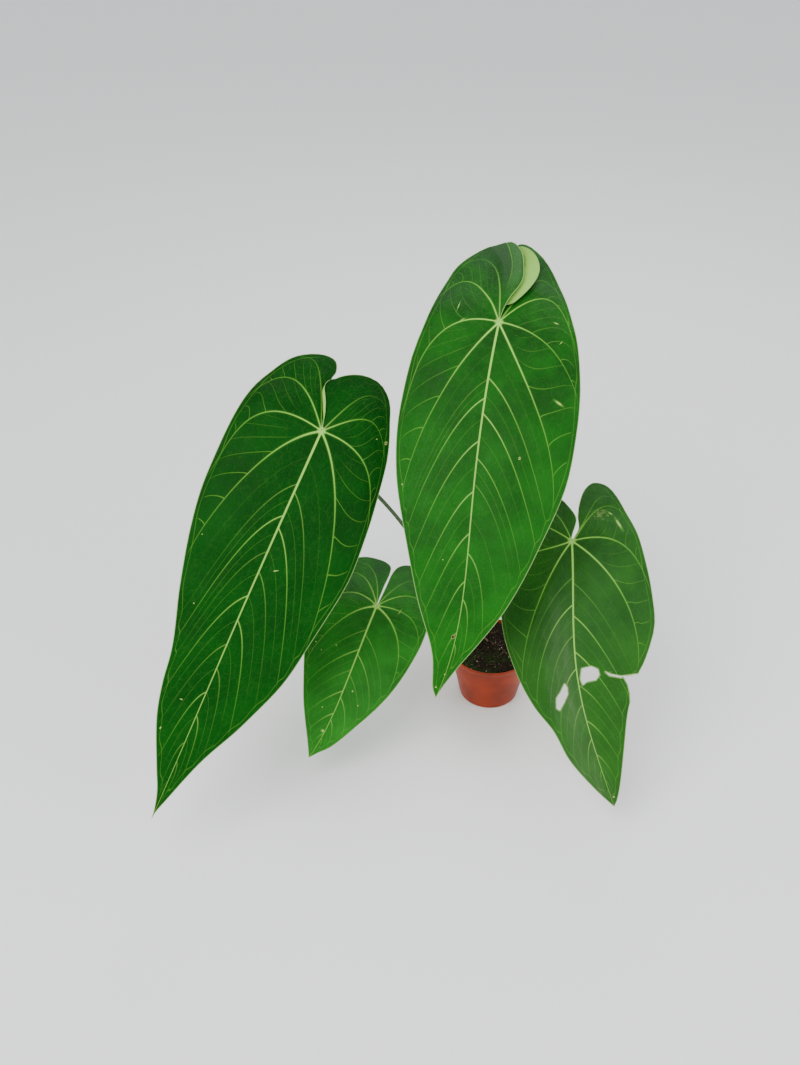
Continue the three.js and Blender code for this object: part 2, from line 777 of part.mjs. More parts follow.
function potGeometry() {
  const slope = (RIM_RADIUS - BASE_RADIUS) / POT_HEIGHT;
  const outer = (z) => BASE_RADIUS + slope * z;
  const top = POT_HEIGHT;
  const beadDrop = 6;
  const profile = [
    [0, 0],
    [BASE_RADIUS - 2, 0],
    [BASE_RADIUS + 0.3, 2],
    [outer(top - beadDrop) - RIM_BEAD, top - beadDrop],
    [RIM_RADIUS, top - beadDrop + 1],
    [RIM_RADIUS, top - 0.5],
    [RIM_RADIUS - 0.5, top],
    [RIM_RADIUS - POT_WALL, top],
    [outer(top - beadDrop) - RIM_BEAD - POT_WALL, top - beadDrop - 2],
    [BASE_RADIUS - POT_WALL, POT_FLOOR],
    [0, POT_FLOOR],
  ].map(([r, z]) => new THREE.Vector2(r, z));
  const shell = new THREE.LatheGeometry(profile, 48);
  shell.rotateX(Math.PI / 2);
  let solid = toSolid(withoutSlivers(mergeVertices(shell, 1e-3)));
  for (let i = 0; i < DRAIN_HOLES; i++) {
    const turn = (2 * Math.PI * i) / DRAIN_HOLES;
    const hole = new THREE.CylinderGeometry(DRAIN_RADIUS, DRAIN_RADIUS, 4 * POT_FLOOR, 16);
    hole.rotateX(Math.PI / 2);
    hole.translate(DRAIN_CIRCLE * Math.cos(turn), DRAIN_CIRCLE * Math.sin(turn), POT_FLOOR / 2);
    solid = solid.subtract(toSolid(hole));
  }
  return toGeometry(solid);
}

// Height of the lumpy soil surface
function soilHeight(x, y) {
  const radius = Math.hypot(x, y);
  const mound = SOIL_MOUND * smooth(1 - radius / RIM_RADIUS);
  const lumps = Math.sin(x * 0.31 + 1.3) * Math.sin(y * 0.27 + 0.4)
    + 0.6 * Math.sin(x * 0.62 - y * 0.5) + 0.4 * Math.sin(x * 0.2 + y * 0.93 + 2);
  return POT_HEIGHT - SOIL_DROP + mound + SOIL_LUMP * 0.5 * lumps;
}

function soilGeometry() {
  const slope = (RIM_RADIUS - BASE_RADIUS) / POT_HEIGHT;
  const bottom = POT_FLOOR + GAP;
  const rimRadius = RIM_RADIUS - POT_WALL - RIM_BEAD - GAP - 2 - slope * SOIL_DROP;
  const sides = 40;
  const pit = { radius: STEM_RADIUS + GAP + 0.4, floor: STEM_BOTTOM - GAP };
  const radii = [1, 0.94, 0.86, 0.77, 0.67, 0.57, 0.47, 0.37, 0.28, pit.radius / rimRadius];
  const ringOf = (radius, shift, heightAt) =>
    Array.from({ length: sides }, (_, j) => {
      const turn = (2 * Math.PI * j) / sides;
      const x = radius * Math.cos(turn) + STEM_PLACE[0] * shift;
      const y = radius * Math.sin(turn) + STEM_PLACE[1] * shift;
      return new THREE.Vector3(x, y, heightAt(x, y));
    });
  const base = BASE_RADIUS - POT_WALL - GAP - 0.5;
  const rings = [ringOf(base, 0, () => bottom)];
  rings.push(...radii.map((share) =>
    ringOf(rimRadius * share, (1 - share) / (1 - radii.at(-1)), soilHeight)));
  rings.push(ringOf(pit.radius, 1, () => pit.floor));
  return loftedRod(rings);
}

// The short upright stem, ringed by the scars of old leaves
function stemSolid(extra = 0) {
  const scarSpacing = 9;
  const profile = [new THREE.Vector2(0, STEM_BOTTOM - extra)];
  for (let z = STEM_BOTTOM; z < STEM_TOP - 6; z += scarSpacing / 2) {
    const ringed = Math.round((z - STEM_BOTTOM) / (scarSpacing / 2)) % 2;
    const radius = STEM_RADIUS - (ringed ? 1.2 : 0) - 0.02 * (z - STEM_BOTTOM) + extra;
    profile.push(new THREE.Vector2(radius, z));
  }
  profile.push(new THREE.Vector2(STEM_RADIUS * 0.6 + extra, STEM_TOP - 2 + extra));
  profile.push(new THREE.Vector2(0, STEM_TOP + extra));
  profile[1].y -= extra;
  const lathe = new THREE.LatheGeometry(profile, 14);
  lathe.rotateX(Math.PI / 2);
  lathe.translate(...STEM_PLACE, 0);
  return toSolid(withoutSlivers(mergeVertices(lathe, 1e-3)));
}

// Aerial roots that leave the stem and end on the soil
function rootSolids() {
  const random = seededRandom(11);
  const count = 5;
  return Array.from({ length: count }, (_, i) => {
    const turn = (2 * Math.PI * (i + 0.35 * random())) / count + 0.5;
    const reach = 24 + 8 * random();
    const direction = new THREE.Vector3(Math.cos(turn), Math.sin(turn), 0);
    const centre = new THREE.Vector3(...STEM_PLACE, 0);
    const end = direction.clone().multiplyScalar(reach).add(centre);
    const ground = soilHeight(end.x, end.y) + ROOT_RADIUS + GAP + 1.5;
    const curve = new THREE.CatmullRomCurve3([
      direction.clone().multiplyScalar(STEM_RADIUS - 5).add(centre).setZ(106),
      direction.clone().multiplyScalar(STEM_RADIUS + 3).add(centre).setZ(105.5),
      direction.clone().multiplyScalar(reach * 0.8).add(centre).setZ(ground + 3),
      end.setZ(ground),
    ]);
    return toSolid(rodAlong(curve, 8, 5, (share) => ROOT_RADIUS * (1 - 0.35 * share)));
  });
}

const materials = {
  pot: new THREE.MeshStandardMaterial({ color: 0xa04a33, roughness: 0.5 }),
  soil: new THREE.MeshStandardMaterial({ color: 0x2a2013, roughness: 0.95 }),
  stem: new THREE.MeshStandardMaterial({ color: 0x5c5a36, roughness: 0.8 }),
  stalk: new THREE.MeshStandardMaterial({ color: 0x2d5a1c, roughness: 0.5 }),
  blade: new THREE.MeshStandardMaterial({ color: 0x1f5f18, roughness: 0.4 }),
};

const group = new THREE.Group();

function addPiece(name, geometry, material) {
  geometry.computeVertexNormals();
  const mesh = new THREE.Mesh(geometry, material);
  mesh.name = name;
  group.add(mesh);
}

const stem = rootSolids().reduce((solid, root) => solid.add(root), stemSolid());
addPiece("pot", potGeometry(), materials.pot);
addPiece("soil", soilGeometry(), materials.soil);
addPiece("stem", toGeometry(stem), materials.stem);

const clearStem = stemSolid(GAP);
for (const [name, leaf] of Object.entries(LEAVES)) {
  const unfolded = unfoldLeaf(leaf);
  let blade = toSolid(bladeGeometry(unfolded));
  if (name === "right") {
    for (const outline of Object.values(LEAF_DAMAGE)) {
      blade = blade.subtract(damageCutter(unfolded, outline));
    }
  }
  const stalk = toSolid(stalkGeometry(leaf, unfolded)).subtract(clearStem);
  addPiece(`blade_${name}`, toGeometry(blade), materials.blade);
  addPiece(`stalk_${name}`, toGeometry(mainBody(stalk)), materials.stalk);
}

export default group;
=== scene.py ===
import json
import math
import random

import bmesh
import bpy
import numpy as np
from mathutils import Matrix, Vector, noise

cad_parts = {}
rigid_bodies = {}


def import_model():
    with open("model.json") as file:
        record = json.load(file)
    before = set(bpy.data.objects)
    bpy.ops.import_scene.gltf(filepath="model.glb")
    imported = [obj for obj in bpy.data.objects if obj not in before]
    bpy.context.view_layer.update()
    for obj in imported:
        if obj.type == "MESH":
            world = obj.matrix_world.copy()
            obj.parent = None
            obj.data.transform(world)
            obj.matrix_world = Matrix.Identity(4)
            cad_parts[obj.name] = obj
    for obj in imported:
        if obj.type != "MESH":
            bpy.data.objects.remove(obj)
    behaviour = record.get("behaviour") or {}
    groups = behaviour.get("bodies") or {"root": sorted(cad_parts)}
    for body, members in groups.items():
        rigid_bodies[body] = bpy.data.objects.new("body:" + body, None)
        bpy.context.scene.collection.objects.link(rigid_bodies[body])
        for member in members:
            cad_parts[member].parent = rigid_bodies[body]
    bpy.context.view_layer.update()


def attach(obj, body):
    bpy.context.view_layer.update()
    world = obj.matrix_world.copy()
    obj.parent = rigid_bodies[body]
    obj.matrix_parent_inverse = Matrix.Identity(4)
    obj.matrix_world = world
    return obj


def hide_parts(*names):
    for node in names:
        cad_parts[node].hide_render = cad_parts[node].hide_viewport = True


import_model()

mm = 0.001
print("frame loaded")

# What every blade shares, in millimetres and degrees
sheet = {
    "thickness": 0.7, "midribCrest": 0.9, "midribKeel": 1.8, "midribWidth": 2.4,
    "veinCrest": 0.35, "veinKeel": 0.9, "ribTaper": 0.8, "star": 20,
    "quilt": 1.8, "quiltGap": 12, "ripple": 0.35, "ripplePitch": 16,
    "basalWidth": (1.7, 1.1), "lateralWidth": (1.1, 0.7),
    "rowPower": 1.25, "rows": 46, "cell": 7, "midribSteps": 240, "outlineSteps": 60,
    "rearSpacing": 14.0, "sinusStart": 5.0, "sinusClearance": 8.0, "rearBend": 20,
    "innerStart": 0.22, "innerWidth": 45, "lipStart": 0.05, "lipOpening": 7, "lipClosing": 2.5,
    "lipSwell": 0.8, "holeRim": 0.6, "creaseAngle": 62,
}
basalLeans = (20, 10, 12, 12)
basalBold = (0.3, 0.45, 0.8, 0.95, 1)
tipBold = 0.6
lateral = {"angle": 52, "reach": 0.6, "pull": 0.42, "lean": 30, "end": 0.45, "growth": 0.61}

# Where the lines of a blade's mesh run: on the rolled strip, beside the sinus, between two veins
lipLines = [-1, -0.85, -0.7, -0.58, -0.47, -0.38, -0.3, -0.22, -0.15, -0.08]
sinusLines = [0, 0.06, 0.13, 0.21, 0.3, 0.4, 0.5, 0.6, 0.7, 0.79, 0.87, 0.93, 0.97]
veinLines = [0, 0.03, 0.09, 0.17, 0.27, 0.38, 0.5, 0.62, 0.73, 0.83, 0.91, 0.97]

# The four leaves, flat: x outwards from the midrib and y along it, from the stalk to the tip.
# deep and bright are a leaf's own greens, sheen the grey coat on it, part dust and part painted
# sheen, gloss its shine, lines how bold its veins are, bold how bold each side vein is. In marks
# and holes x is to the right of the midrib; a mark goes on with its radius along x and y, its look
# and its turn.
leaves = {}
leaves["centre"] = {
    "joint": (-11, 51, 664), "aim": (-14.4, 30), "roll": 3, "bend": (42, 34, 36),
    "veer": (11, 9, -91), "foot": (-22.5, 28, 114), "bow": (14, 44, 430),
    "deep": (0.0018, 0.042, 0.0013), "bright": (0.007, 0.118, 0.0034), "sheen": 0.35,
    "gloss": 0.09, "lines": 0.95, "fold": (6, 4, 8), "curl": (16, 16, 10), "seed": 6,
    "left": {
        "margin": [(0, 0), (-2, -14), (-10, -36), (-21, -68), (-18, -98), (-9, -128), (14, -158),
            (40, -152), (65, -128), (83, -101), (94, -62), (102, -5), (114, 70), (119, 155),
            (112, 232), (86, 334), (61, 415), (26, 489), (10, 536), (0, 549)],
        "veins": ((173, 0.62, 0.5, -0.17), (152, 0.73, 0.38, -0.04), (94, 0.84, 0.81, 0.333),
            (33, 0.8, 0.68, 0.522)),
        "apex": 5, "laterals": (0.17, 0.22, 0.335, 0.465, 0.57, 0.69, 0.82),
        "bold": (0.22, 0.85, 0.75, 0.7, 0.6, 0.5, 0.4), "inner": (15, 34),
        "wave": ((2.5, 230, 0.1), (1.2, 90, 0.4))},
    "right": {
        "margin": [(0, 0), (2, -14), (9, -40), (16, -76), (19, -108), (13, -138), (1, -163),
            (12, -165), (34, -148), (56, -120), (75, -86), (100, -28), (119, 28), (130, 87),
            (133, 155), (126, 236), (96, 326), (63, 403), (33, 458), (14, 496), (3, 530), (0, 549)],
        "veins": ((168, 0.85, 0.4, -0.1), (152, 0.74, 0.72, 0.1), (85, 0.3, 0.73, 0.22),
            (31, 1.09, 0.72, 0.53)),
        "apex": 6, "laterals": (0.165, 0.262, 0.38, 0.445, 0.62, 0.735, 0.85),
        "bold": (0.6, 0.85, 0.45, 0.22, 0.5, 0.45, 0.35), "lip": (31, 2.6, 168),
        "wave": ((3, 190, 0.35), (1.5, 80, 0))},
    "marks": [(-4, 457, 2.4, 3.0, "rot", 0), (-1, 512, 1.2, 1.2, "pale", 0),
        (102, 114, 6.5, 1.8, "scar", 28), (58, 203, 1.6, 2.4, "ring", 0),
        (-100, 253, 1.4, 1.6, "pale", 0), (-33, 352, 1.1, 1.1, "pale", 0),
        (80, -11, 3.6, 1.1, "scar", 10), (-62, -17, 0.6, 8, "scar", 6),
        (-52, 6, 5, 0.6, "scar", -40), (-6, 534, 2.0, 1.3, "pale", 0),
        (92, 20, 0.5, 3.5, "scar", 30)],
}
leaves["left"] = {
    "joint": (-263, -49, 544), "aim": (-26.5, 34), "roll": 28, "bend": (34, 30, 26),
    "veer": (0, 3, -5), "foot": (-31, 24.4, 112), "bow": (-152, 2, 352),
    "deep": (0.0008, 0.033, 0.001), "bright": (0.0018, 0.064, 0.0019), "sheen": 0.22,
    "gloss": 0.05, "lines": 0.78, "fold": (4, 4, 8), "curl": (18, 16, 8), "seed": 4,
    "left": {
        "margin": [(0, 0), (2, -8), (5, -24), (9, -48), (14, -70), (17, -84), (15, -98),
            (23, -117), (44, -120), (79, -101), (107, -53), (121, 5), (124, 60), (121, 145),
            (110, 207), (90, 286), (68, 360), (61, 410), (50, 458), (23, 527), (9, 561), (2, 590),
            (0, 606)],
        "veins": ((167, 1.03, 0.37, -0.158), (142, 0.88, 0.84, 0.024), (101, 0.95, 0.71, 0.228),
            (58, 0.63, 0.52, 0.412)),
        "apex": 6, "laterals": (0.14, 0.22, 0.31, 0.42, 0.54, 0.66, 0.79),
        "bold": (0.3, 0.8, 0.22, 0.7, 0.3, 0.6, 0.3), "inner": (-3, 30),
        "wave": ((3, 210, 0.2), (1.5, 75, 0.5))},
    "right": {
        "margin": [(0, 0), (-1, -12), (-12, -36), (-21, -60), (-13, -82), (3, -101), (23, -114),
            (50, -116), (71, -99), (87, -60), (99, -24), (111, 38), (119, 105), (122, 180),
            (109, 270), (95, 345), (65, 423), (31, 498), (8, 571), (2, 592), (0, 606)],
        "veins": ((159, 0.51, 0.55, -0.12), (136, 0.49, 0.97, 0.03), (94, 0.75, 0.53, 0.19),
            (48, 0.85, 0.63, 0.51)),
        "apex": 4, "laterals": (0.16, 0.25, 0.36, 0.48, 0.6, 0.72, 0.84),
        "bold": (0.4, 0.8, 0.3, 0.65, 0.3, 0.5, 0.3), "inner": (6, 20), "lip": (7, 1.6, 150),
        "wave": ((2.5, 240, 0.45), (1.5, 85, 0.1))},
    "marks": [(92, -28, 2.4, 3.4, "ring", 0), (77, -26, 1.4, 1.4, "pale", 0),
        (21, 208, 5, 1.0, "pale", -30), (-64, 293, 1.4, 1.2, "pale", 0),
        (-28, 422, 3.0, 1.1, "pale", 0), (-39, 471, 1.4, 2.6, "pale", 0),
        (-92, 202, 1.1, 1.1, "pale", 0)],
}
leaves["right"] = {
    "joint": (105, -64, 362), "aim": (0.4, 32), "roll": -12, "bend": (44, 36, 40),
    "veer": (-36, 49, -14), "foot": (-16.3, 17.2, 112), "bow": (62, -14, 250),
    "deep": (0.0045, 0.056, 0.0028), "bright": (0.017, 0.118, 0.007), "sheen": 0.6, "gloss": 0.13,
    "lines": 0.82, "cell": 3, "rows": 84, "fold": (6, 5, 8), "curl": (20, 18, 10), "seed": 5,
    "left": {
        "margin": [(0, 0), (-1, -8), (-9, -35), (-6, -46), (2, -60), (12, -74), (26, -82),
            (46, -82), (70, -66), (92, -30), (104, 15), (110, 70), (106, 132), (90, 188),
            (71, 235), (51, 272), (40, 319), (19, 370), (5, 398), (0, 407)],
        "veins": ((163, 1.01, 0.47, -0.113), (128, 0.76, 0.61, -0.033), (69, 0.59, 0.64, 0.18),
            (40, 0.7, 0.15, 0.515)),
        "apex": 4, "laterals": (0.14, 0.24, 0.35, 0.47, 0.6, 0.73, 0.85),
        "bold": (0.25, 0.85, 0.3, 0.6, 0.35, 0.5, 0.3), "wave": ((2, 160, 0.3), (1, 60, 0))},
    "right": {
        "margin": [(0, 0), (4, -6), (11, -18), (11, -40), (15, -65), (24, -90), (36, -103),
            (48, -103), (62, -94), (89, -35), (106, 28), (116, 84), (118, 130), (101, 186),
            (87, 212), (75, 240), (62, 268), (43, 318), (19, 375), (7, 398), (0, 407)],
        "veins": ((171, 0.79, 0.6, -0.15), (130, 0.25, 0.83, -0.07), (99, 0.63, 0.61, 0.222),
            (51, 0.96, 0.61, 0.525)),
        "apex": 5, "laterals": (0.16, 0.28, 0.41, 0.53, 0.66, 0.79, 0.89),
        "bold": (0.22, 0.8, 0.75, 0.4, 0.55, 0.4, 0.3), "wave": ((2, 150, 0.1), (1.2, 66, 0.3))},
    "holes": [
        [(8, 192), (22, 190), (31, 195), (32, 204), (26, 211), (12, 212), (6, 216), (4, 207)],
        [(-20, 211), (-17, 216), (-18, 226), (-26, 237), (-34, 246), (-38, 243), (-35, 229),
         (-27, 221)],
        [(110, 214.5), (62, 213), (46, 207), (41, 200), (47, 204.5), (62, 210.5), (110, 211)],
        [(110, 212), (66, 212.5), (70, 226), (70.5, 240), (68.5, 254), (110, 262)]],
    "marks": [(71, -24, 2.0, 11, "scar", -22), (46, -42, 15, 13, "scribble", 0),
        (60, -44, 1.0, 4, "scar", -50), (47, 203, 8, 3.5, "scribble", 0),
        (4, 391, 2.2, 2.2, "pale", 0)],
}
leaves["low"] = {
    "joint": (-189, -44, 219), "aim": (-19.6, 16), "roll": 12, "bend": (50, 40, 40),
    "veer": (3, -8, -58), "foot": (-30, 14.4, 110), "bow": (-88, -24, 186),
    "deep": (0.006, 0.074, 0.004), "bright": (0.017, 0.19, 0.01), "sheen": 0.3, "gloss": 0.11,
    "lines": 0.85, "fold": (6, 5, 8), "curl": (22, 20, 10), "seed": 3,
    "left": {
        "margin": [(0, 0), (0.6, -10), (1.5, -40), (1.5, -72), (5, -88), (16, -96), (33, -98),
            (50, -97), (66, -88), (84, -56), (92, -12), (93, 30), (88, 80), (77, 119), (64, 154),
            (50, 188), (32, 219), (12, 248), (0, 264)],
        "veins": ((166, 1.1, 0.2, -0.26), (150, 0.96, 0.73, 0.02), (119, 0.76, 0.81, 0.36),
            (64, 0.54, 0.41, 0.52)),
        "apex": 4, "laterals": (0.17, 0.3, 0.43, 0.56, 0.7, 0.83),
        "bold": (0.3, 0.75, 0.25, 0.7, 0.65, 0.4), "wave": ((1.5, 120, 0.2), (0.8, 50, 0))},
    "right": {
        "margin": [(0, 0), (0.6, -10), (1.5, -40), (2, -76), (7, -95), (17, -106), (32, -111),
            (50, -104), (68, -84), (82, -45), (88, 0), (88, 38), (83, 75), (74, 114), (60, 150),
            (39, 191), (19, 232), (7, 250), (0, 264)],
        "veins": ((163, 0.64, 0.47, -0.25), (145, 0.78, 0.48, 0.04), (104, 0.46, 0.7, 0.21),
            (68, 0.61, 0.79, 0.54)),
        "apex": 4, "laterals": (0.2, 0.33, 0.46, 0.6, 0.74, 0.86),
        "bold": (0.35, 0.65, 0.25, 0.6, 0.5, 0.4), "wave": ((1.5, 130, 0.4), (0.8, 55, 0.2))},
    "marks": [(-68, 90, 1.5, 1.5, "pale", 0), (-36, 85, 1.8, 1.4, "pale", 0),
        (-3, 216, 3.0, 2.4, "scar", 0), (-20, 183, 1.3, 1.7, "pale", 0),
        (38, -3, 0.6, 6, "scar", 12), (14, 143, 1.5, 2.0, "pale", 0),
        (-55, 100, 1.2, 1.2, "pale", 0), (30, 160, 1.1, 1.8, "pale", 0)],
}


def smooth(t):
    t = np.clip(t, 0, 1)
    return t * t * (3 - 2 * t)


def spread(values, share):
    return np.interp(np.clip(share, 0, 1), np.linspace(0, 1, len(values)), values)


def between(table, place):
    # rows of a table at places that need not be whole
    rows = np.arange(len(table))
    return np.stack([np.interp(place, rows, column) for column in table.T], -1)


def roundedLine(points, perSpan):
    # centripetal curve through the points
    p = np.array(points, float)
    p = np.vstack([2 * p[0] - p[1], p, 2 * p[-1] - p[-2]])
    t = np.linspace(0, 1, perSpan, endpoint=False)[:, None]
    spans = []
    for p0, p1, p2, p3 in zip(p, p[1:], p[2:], p[3:]):
        a, b, c = (max(np.linalg.norm(v), 1e-9) ** 0.5 for v in (p1 - p0, p2 - p1, p3 - p2))
        m1 = ((p1 - p0) / a - (p2 - p0) / (a + b) + (p2 - p1) / b) * b
        m2 = ((p2 - p1) / b - (p3 - p1) / (b + c) + (p3 - p2) / c) * b
        spans.append(p1 + m1 * t + (-3 * p1 + 3 * p2 - 2 * m1 - m2) * t**2
                     + (2 * p1 - 2 * p2 + m1 + m2) * t**3)
    return np.vstack(spans + [p[-2:-1]])


def lengthShares(points):
    steps = np.linalg.norm(np.diff(points, axis=0), axis=1)
    total = np.concatenate([[0], np.cumsum(steps)])
    return total / total[-1]


def turned(a, b, angle):
    # two axes, or the two parts of a vector, turned in their own plane
    c, s = math.cos(angle), math.sin(angle)
    return a * c + b * s, b * c - a * s


def cubic(points, t):
    t = np.asarray(t, float)[..., None]
    a, b, c, d = points
    return a * (1 - t)**3 + 3 * b * (1 - t)**2 * t + 3 * c * (1 - t) * t**2 + d * t**3


def newPiece(name, mesh):
    piece = bpy.data.objects.new(name, mesh)
    bpy.context.scene.collection.objects.link(piece)
    return piece


def meshPiece(name, verts, faces, edges=()):
    mesh = bpy.data.meshes.new(name)
    mesh.from_pydata(verts, edges, faces)
    return newPiece(name, mesh)


def setPointValues(mesh, title, values):
    layer = mesh.attributes.new(title, "FLOAT", "POINT")
    layer.data.foreach_set("value", np.array(values, np.float32))


def smoothFaces(mesh, angle):
    mesh.polygons.foreach_set("use_smooth", np.ones(len(mesh.polygons), bool))
    mesh.set_sharp_from_angle(angle=math.radians(angle))
    mesh.update()


def finishMesh(mesh, angle, material):
    bm = bmesh.new()
    bm.from_mesh(mesh)
    bmesh.ops.remove_doubles(bm, verts=bm.verts, dist=1e-6)
    bmesh.ops.recalc_face_normals(bm, faces=bm.faces)
    bm.to_mesh(mesh)
    bm.free()
    smoothFaces(mesh, angle)
    mesh.materials.clear()
    mesh.materials.append(material)


def evaluated(host):
    # the plain mesh of a piece with its modifiers
    bpy.context.view_layer.update()
    graph = bpy.context.evaluated_depsgraph_get()
    return bpy.data.meshes.new_from_object(host.evaluated_get(graph))


class Midrib:
    # the midrib in space, with its own axes all along it
    def __init__(self, leaf, length, lobe):
        heading, drop, roll = (math.radians(v) for v in (*leaf["aim"], leaf["roll"]))
        level = np.array([math.sin(heading), -math.cos(heading), 0])
        along, up = turned(level, np.array([0, 0, 1]), -drop)
        up, side = turned(up, np.cross(up, along), roll)
        start = (np.array(leaf["joint"], float), along, up, side)
        front = self.march(start, length, 1, leaf["bend"], leaf["veer"])
        rear = self.march(start, lobe, -1, (sheet["rearBend"],), (0,))
        self.y = np.concatenate([np.linspace(-lobe, 0, len(rear)),
                                 np.linspace(0, length, len(front))[1:]])
        self.table = np.concatenate([rear[::-1], front[1:]])

    def march(self, start, total, sign, bend, veer):
        place, along, up, side = start
        rows = [np.concatenate(start)]
        steps = sheet["midribSteps"]
        stride = total / steps * sign
        for i in range(steps):
            share = (i + 0.5) / steps
            droop = math.radians(spread(bend, share)) / total * stride
            turn = math.radians(spread(veer, share)) / total * stride
            along, up = turned(along, up, -droop)
            along, side = turned(along, side, turn)
            place = place + along * stride
            rows.append(np.concatenate([place, along, up, side]))
        return np.array(rows)

    def at(self, y):
        # place, along, up and side at distances from the stalk
        rows = np.stack([np.interp(y, self.y, column) for column in self.table.T], -1)
        return rows[..., 0:3], rows[..., 3:6], rows[..., 6:9], rows[..., 9:12]


class HalfBlade:
    # one half of a blade: its outline and veins laid flat, and how it bends in space
    def __init__(self, leaf, side, direction):
        shape = {**leaf, **leaf[side]}
        length = shape["margin"][-1][1]
        self.shape, self.direction, self.length = shape, direction, length
        steps = sheet["outlineSteps"]
        self.outline = roundedLine(shape["margin"], steps)
        self.apex = steps * shape["apex"]
        self.lobe = -self.outline[:, 1].min()
        self.width = self.outline[:, 0].max()
        self.stations = np.array([0, *(s * length for s in shape["laterals"]), length])
        low, high = -self.lobe / 2, -sheet["sinusStart"]
        edge = self.outline[:self.apex]
        edge = edge[(edge[:, 1] < high) & (edge[:, 1] > low)]
        widest = np.degrees(np.arctan2(edge[:, 0], -edge[:, 1])).max()
        rearAngle = 180 - sheet["sinusClearance"] - widest
        self.veins = []
        for index, (wanted, reach, pull, end) in enumerate(shape["veins"]):
            size = self.lobe if index < 2 else self.width
            angle = min(wanted, rearAngle - index * sheet["rearSpacing"])
            reach = reach * size * (angle / wanted)**2
            self.veins.append(self.route(0, angle, reach, end * length, pull * size,
                                         basalLeans[index]))
        for share in (*shape["laterals"], 1):
            size = self.width * (1 - share)
            end = min(lateral["end"] + lateral["growth"] * share, 1) * length
            self.veins.append(self.route(share * length, lateral["angle"], lateral["reach"] * size,
                                         end, lateral["pull"] * size, lateral["lean"]))
        self.even = np.linspace(0, 1, sheet["outlineSteps"] + 1)
        self.rearProgress = lengthShares(cubic(self.veins[0][1], self.even))
        self.sinusProgress = lengthShares(self.outline[:self.apex + 1])

    def route(self, origin, angle, reach, endY, pull, lean):
        # a vein as its end on the outline and the four points of its curve
        rising = np.nonzero(self.outline[self.apex + 1:, 1] >= endY)[0]
        last = len(self.outline) - 1
        end = last
        if len(rising):
            i = self.apex + rising[0]
            low, high = self.outline[i, 1], self.outline[i + 1, 1]
            end = i + min(max((endY - low) / (high - low), 0), 1)
        span = 1.5 * sheet["outlineSteps"]
        ahead = (between(self.outline, min(end + span, last))
                 - between(self.outline, max(end - span, 0)))
        ahead = ahead / np.linalg.norm(ahead)
        arrival = np.array(turned(*ahead, math.radians(lean)))
        first = np.array([0.0, origin])
        toward = np.array([math.sin(math.radians(angle)), math.cos(math.radians(angle))])
        goal = between(self.outline, end)
        return end, [first, first + toward * reach, goal - arrival * pull, goal]

    def veinAt(self, y):
        return len(basalLeans) + np.interp(y, self.stations, np.arange(len(self.stations)))

    def flat(self, number, share):
        # a flat point: number counts the veins from the sinus, share runs out to the margin
        share = np.asarray(share, float)
        if number < 1:
            rearEnd, rear = self.veins[0]
            end = between(self.outline, self.apex + (rearEnd - self.apex) * number)
            done = np.interp(share, self.even, self.rearProgress)
            index = np.interp(done, self.sinusProgress, np.arange(self.apex + 1))
            edge = (between(self.outline, index)
                    + (end - between(self.outline, self.apex)) * share[:, None]**2)
            vein = cubic(rear, share) + (end - rear[3]) * share[:, None]**2
            return edge * (1 - number) + vein * number
        index = min(int(number) - 1, len(self.veins) - 2)
        mix = number - 1 - index
        (endA, a), (endB, b) = self.veins[index], self.veins[index + 1]
        points = [p * (1 - mix) + q * mix for p, q in zip(a, b)]
        points[3] = between(self.outline, endA * (1 - mix) + endB * mix)
        return cubic(points, share)

    def place(self, midrib, x, y):
        shape = self.shape
        rear = np.maximum(-y / self.lobe, 0)
        slope = np.radians(spread(shape["fold"], y / self.length)) * (1 - np.minimum(rear * 2, 1))
        curl = np.radians(spread(shape["curl"], y / self.length)) / 100
        outwards = (np.sin(slope) - np.sin(slope - curl * x)) / curl
        lift = (np.cos(slope - curl * x) - np.cos(slope)) / curl
        if "inner" in shape:
            # the lobe's edge beside the sinus stands up
            rise, reach = shape["inner"]
            lift = lift + (rise * smooth(rear / sheet["innerStart"])
                           * smooth((reach - x) / sheet["innerWidth"]))
        for height, spacing, phase in shape["wave"]:
            swing = np.sin(2 * np.pi * (y / spacing + phase))
            lift = lift + height * smooth(x / self.width) * swing
        origin, _, up, side = midrib.at(y)
        return origin + side * (outwards * self.direction)[..., None] + up * lift[..., None]

    def normal(self, midrib, x, y):
        step = 0.2
        alongX = self.place(midrib, x + step, y) - self.place(midrib, x - step, y)
        alongY = self.place(midrib, x, y + step) - self.place(midrib, x, y - step)
        n = np.cross(alongX, alongY) * -self.direction
        n = n / np.maximum(np.linalg.norm(n, axis=-1, keepdims=True), 1e-9)
        onRib = (x == 0) & (y >= 0)
        return np.where(onRib[..., None], midrib.at(y)[2], n)

    def lip(self, midrib, number, share):
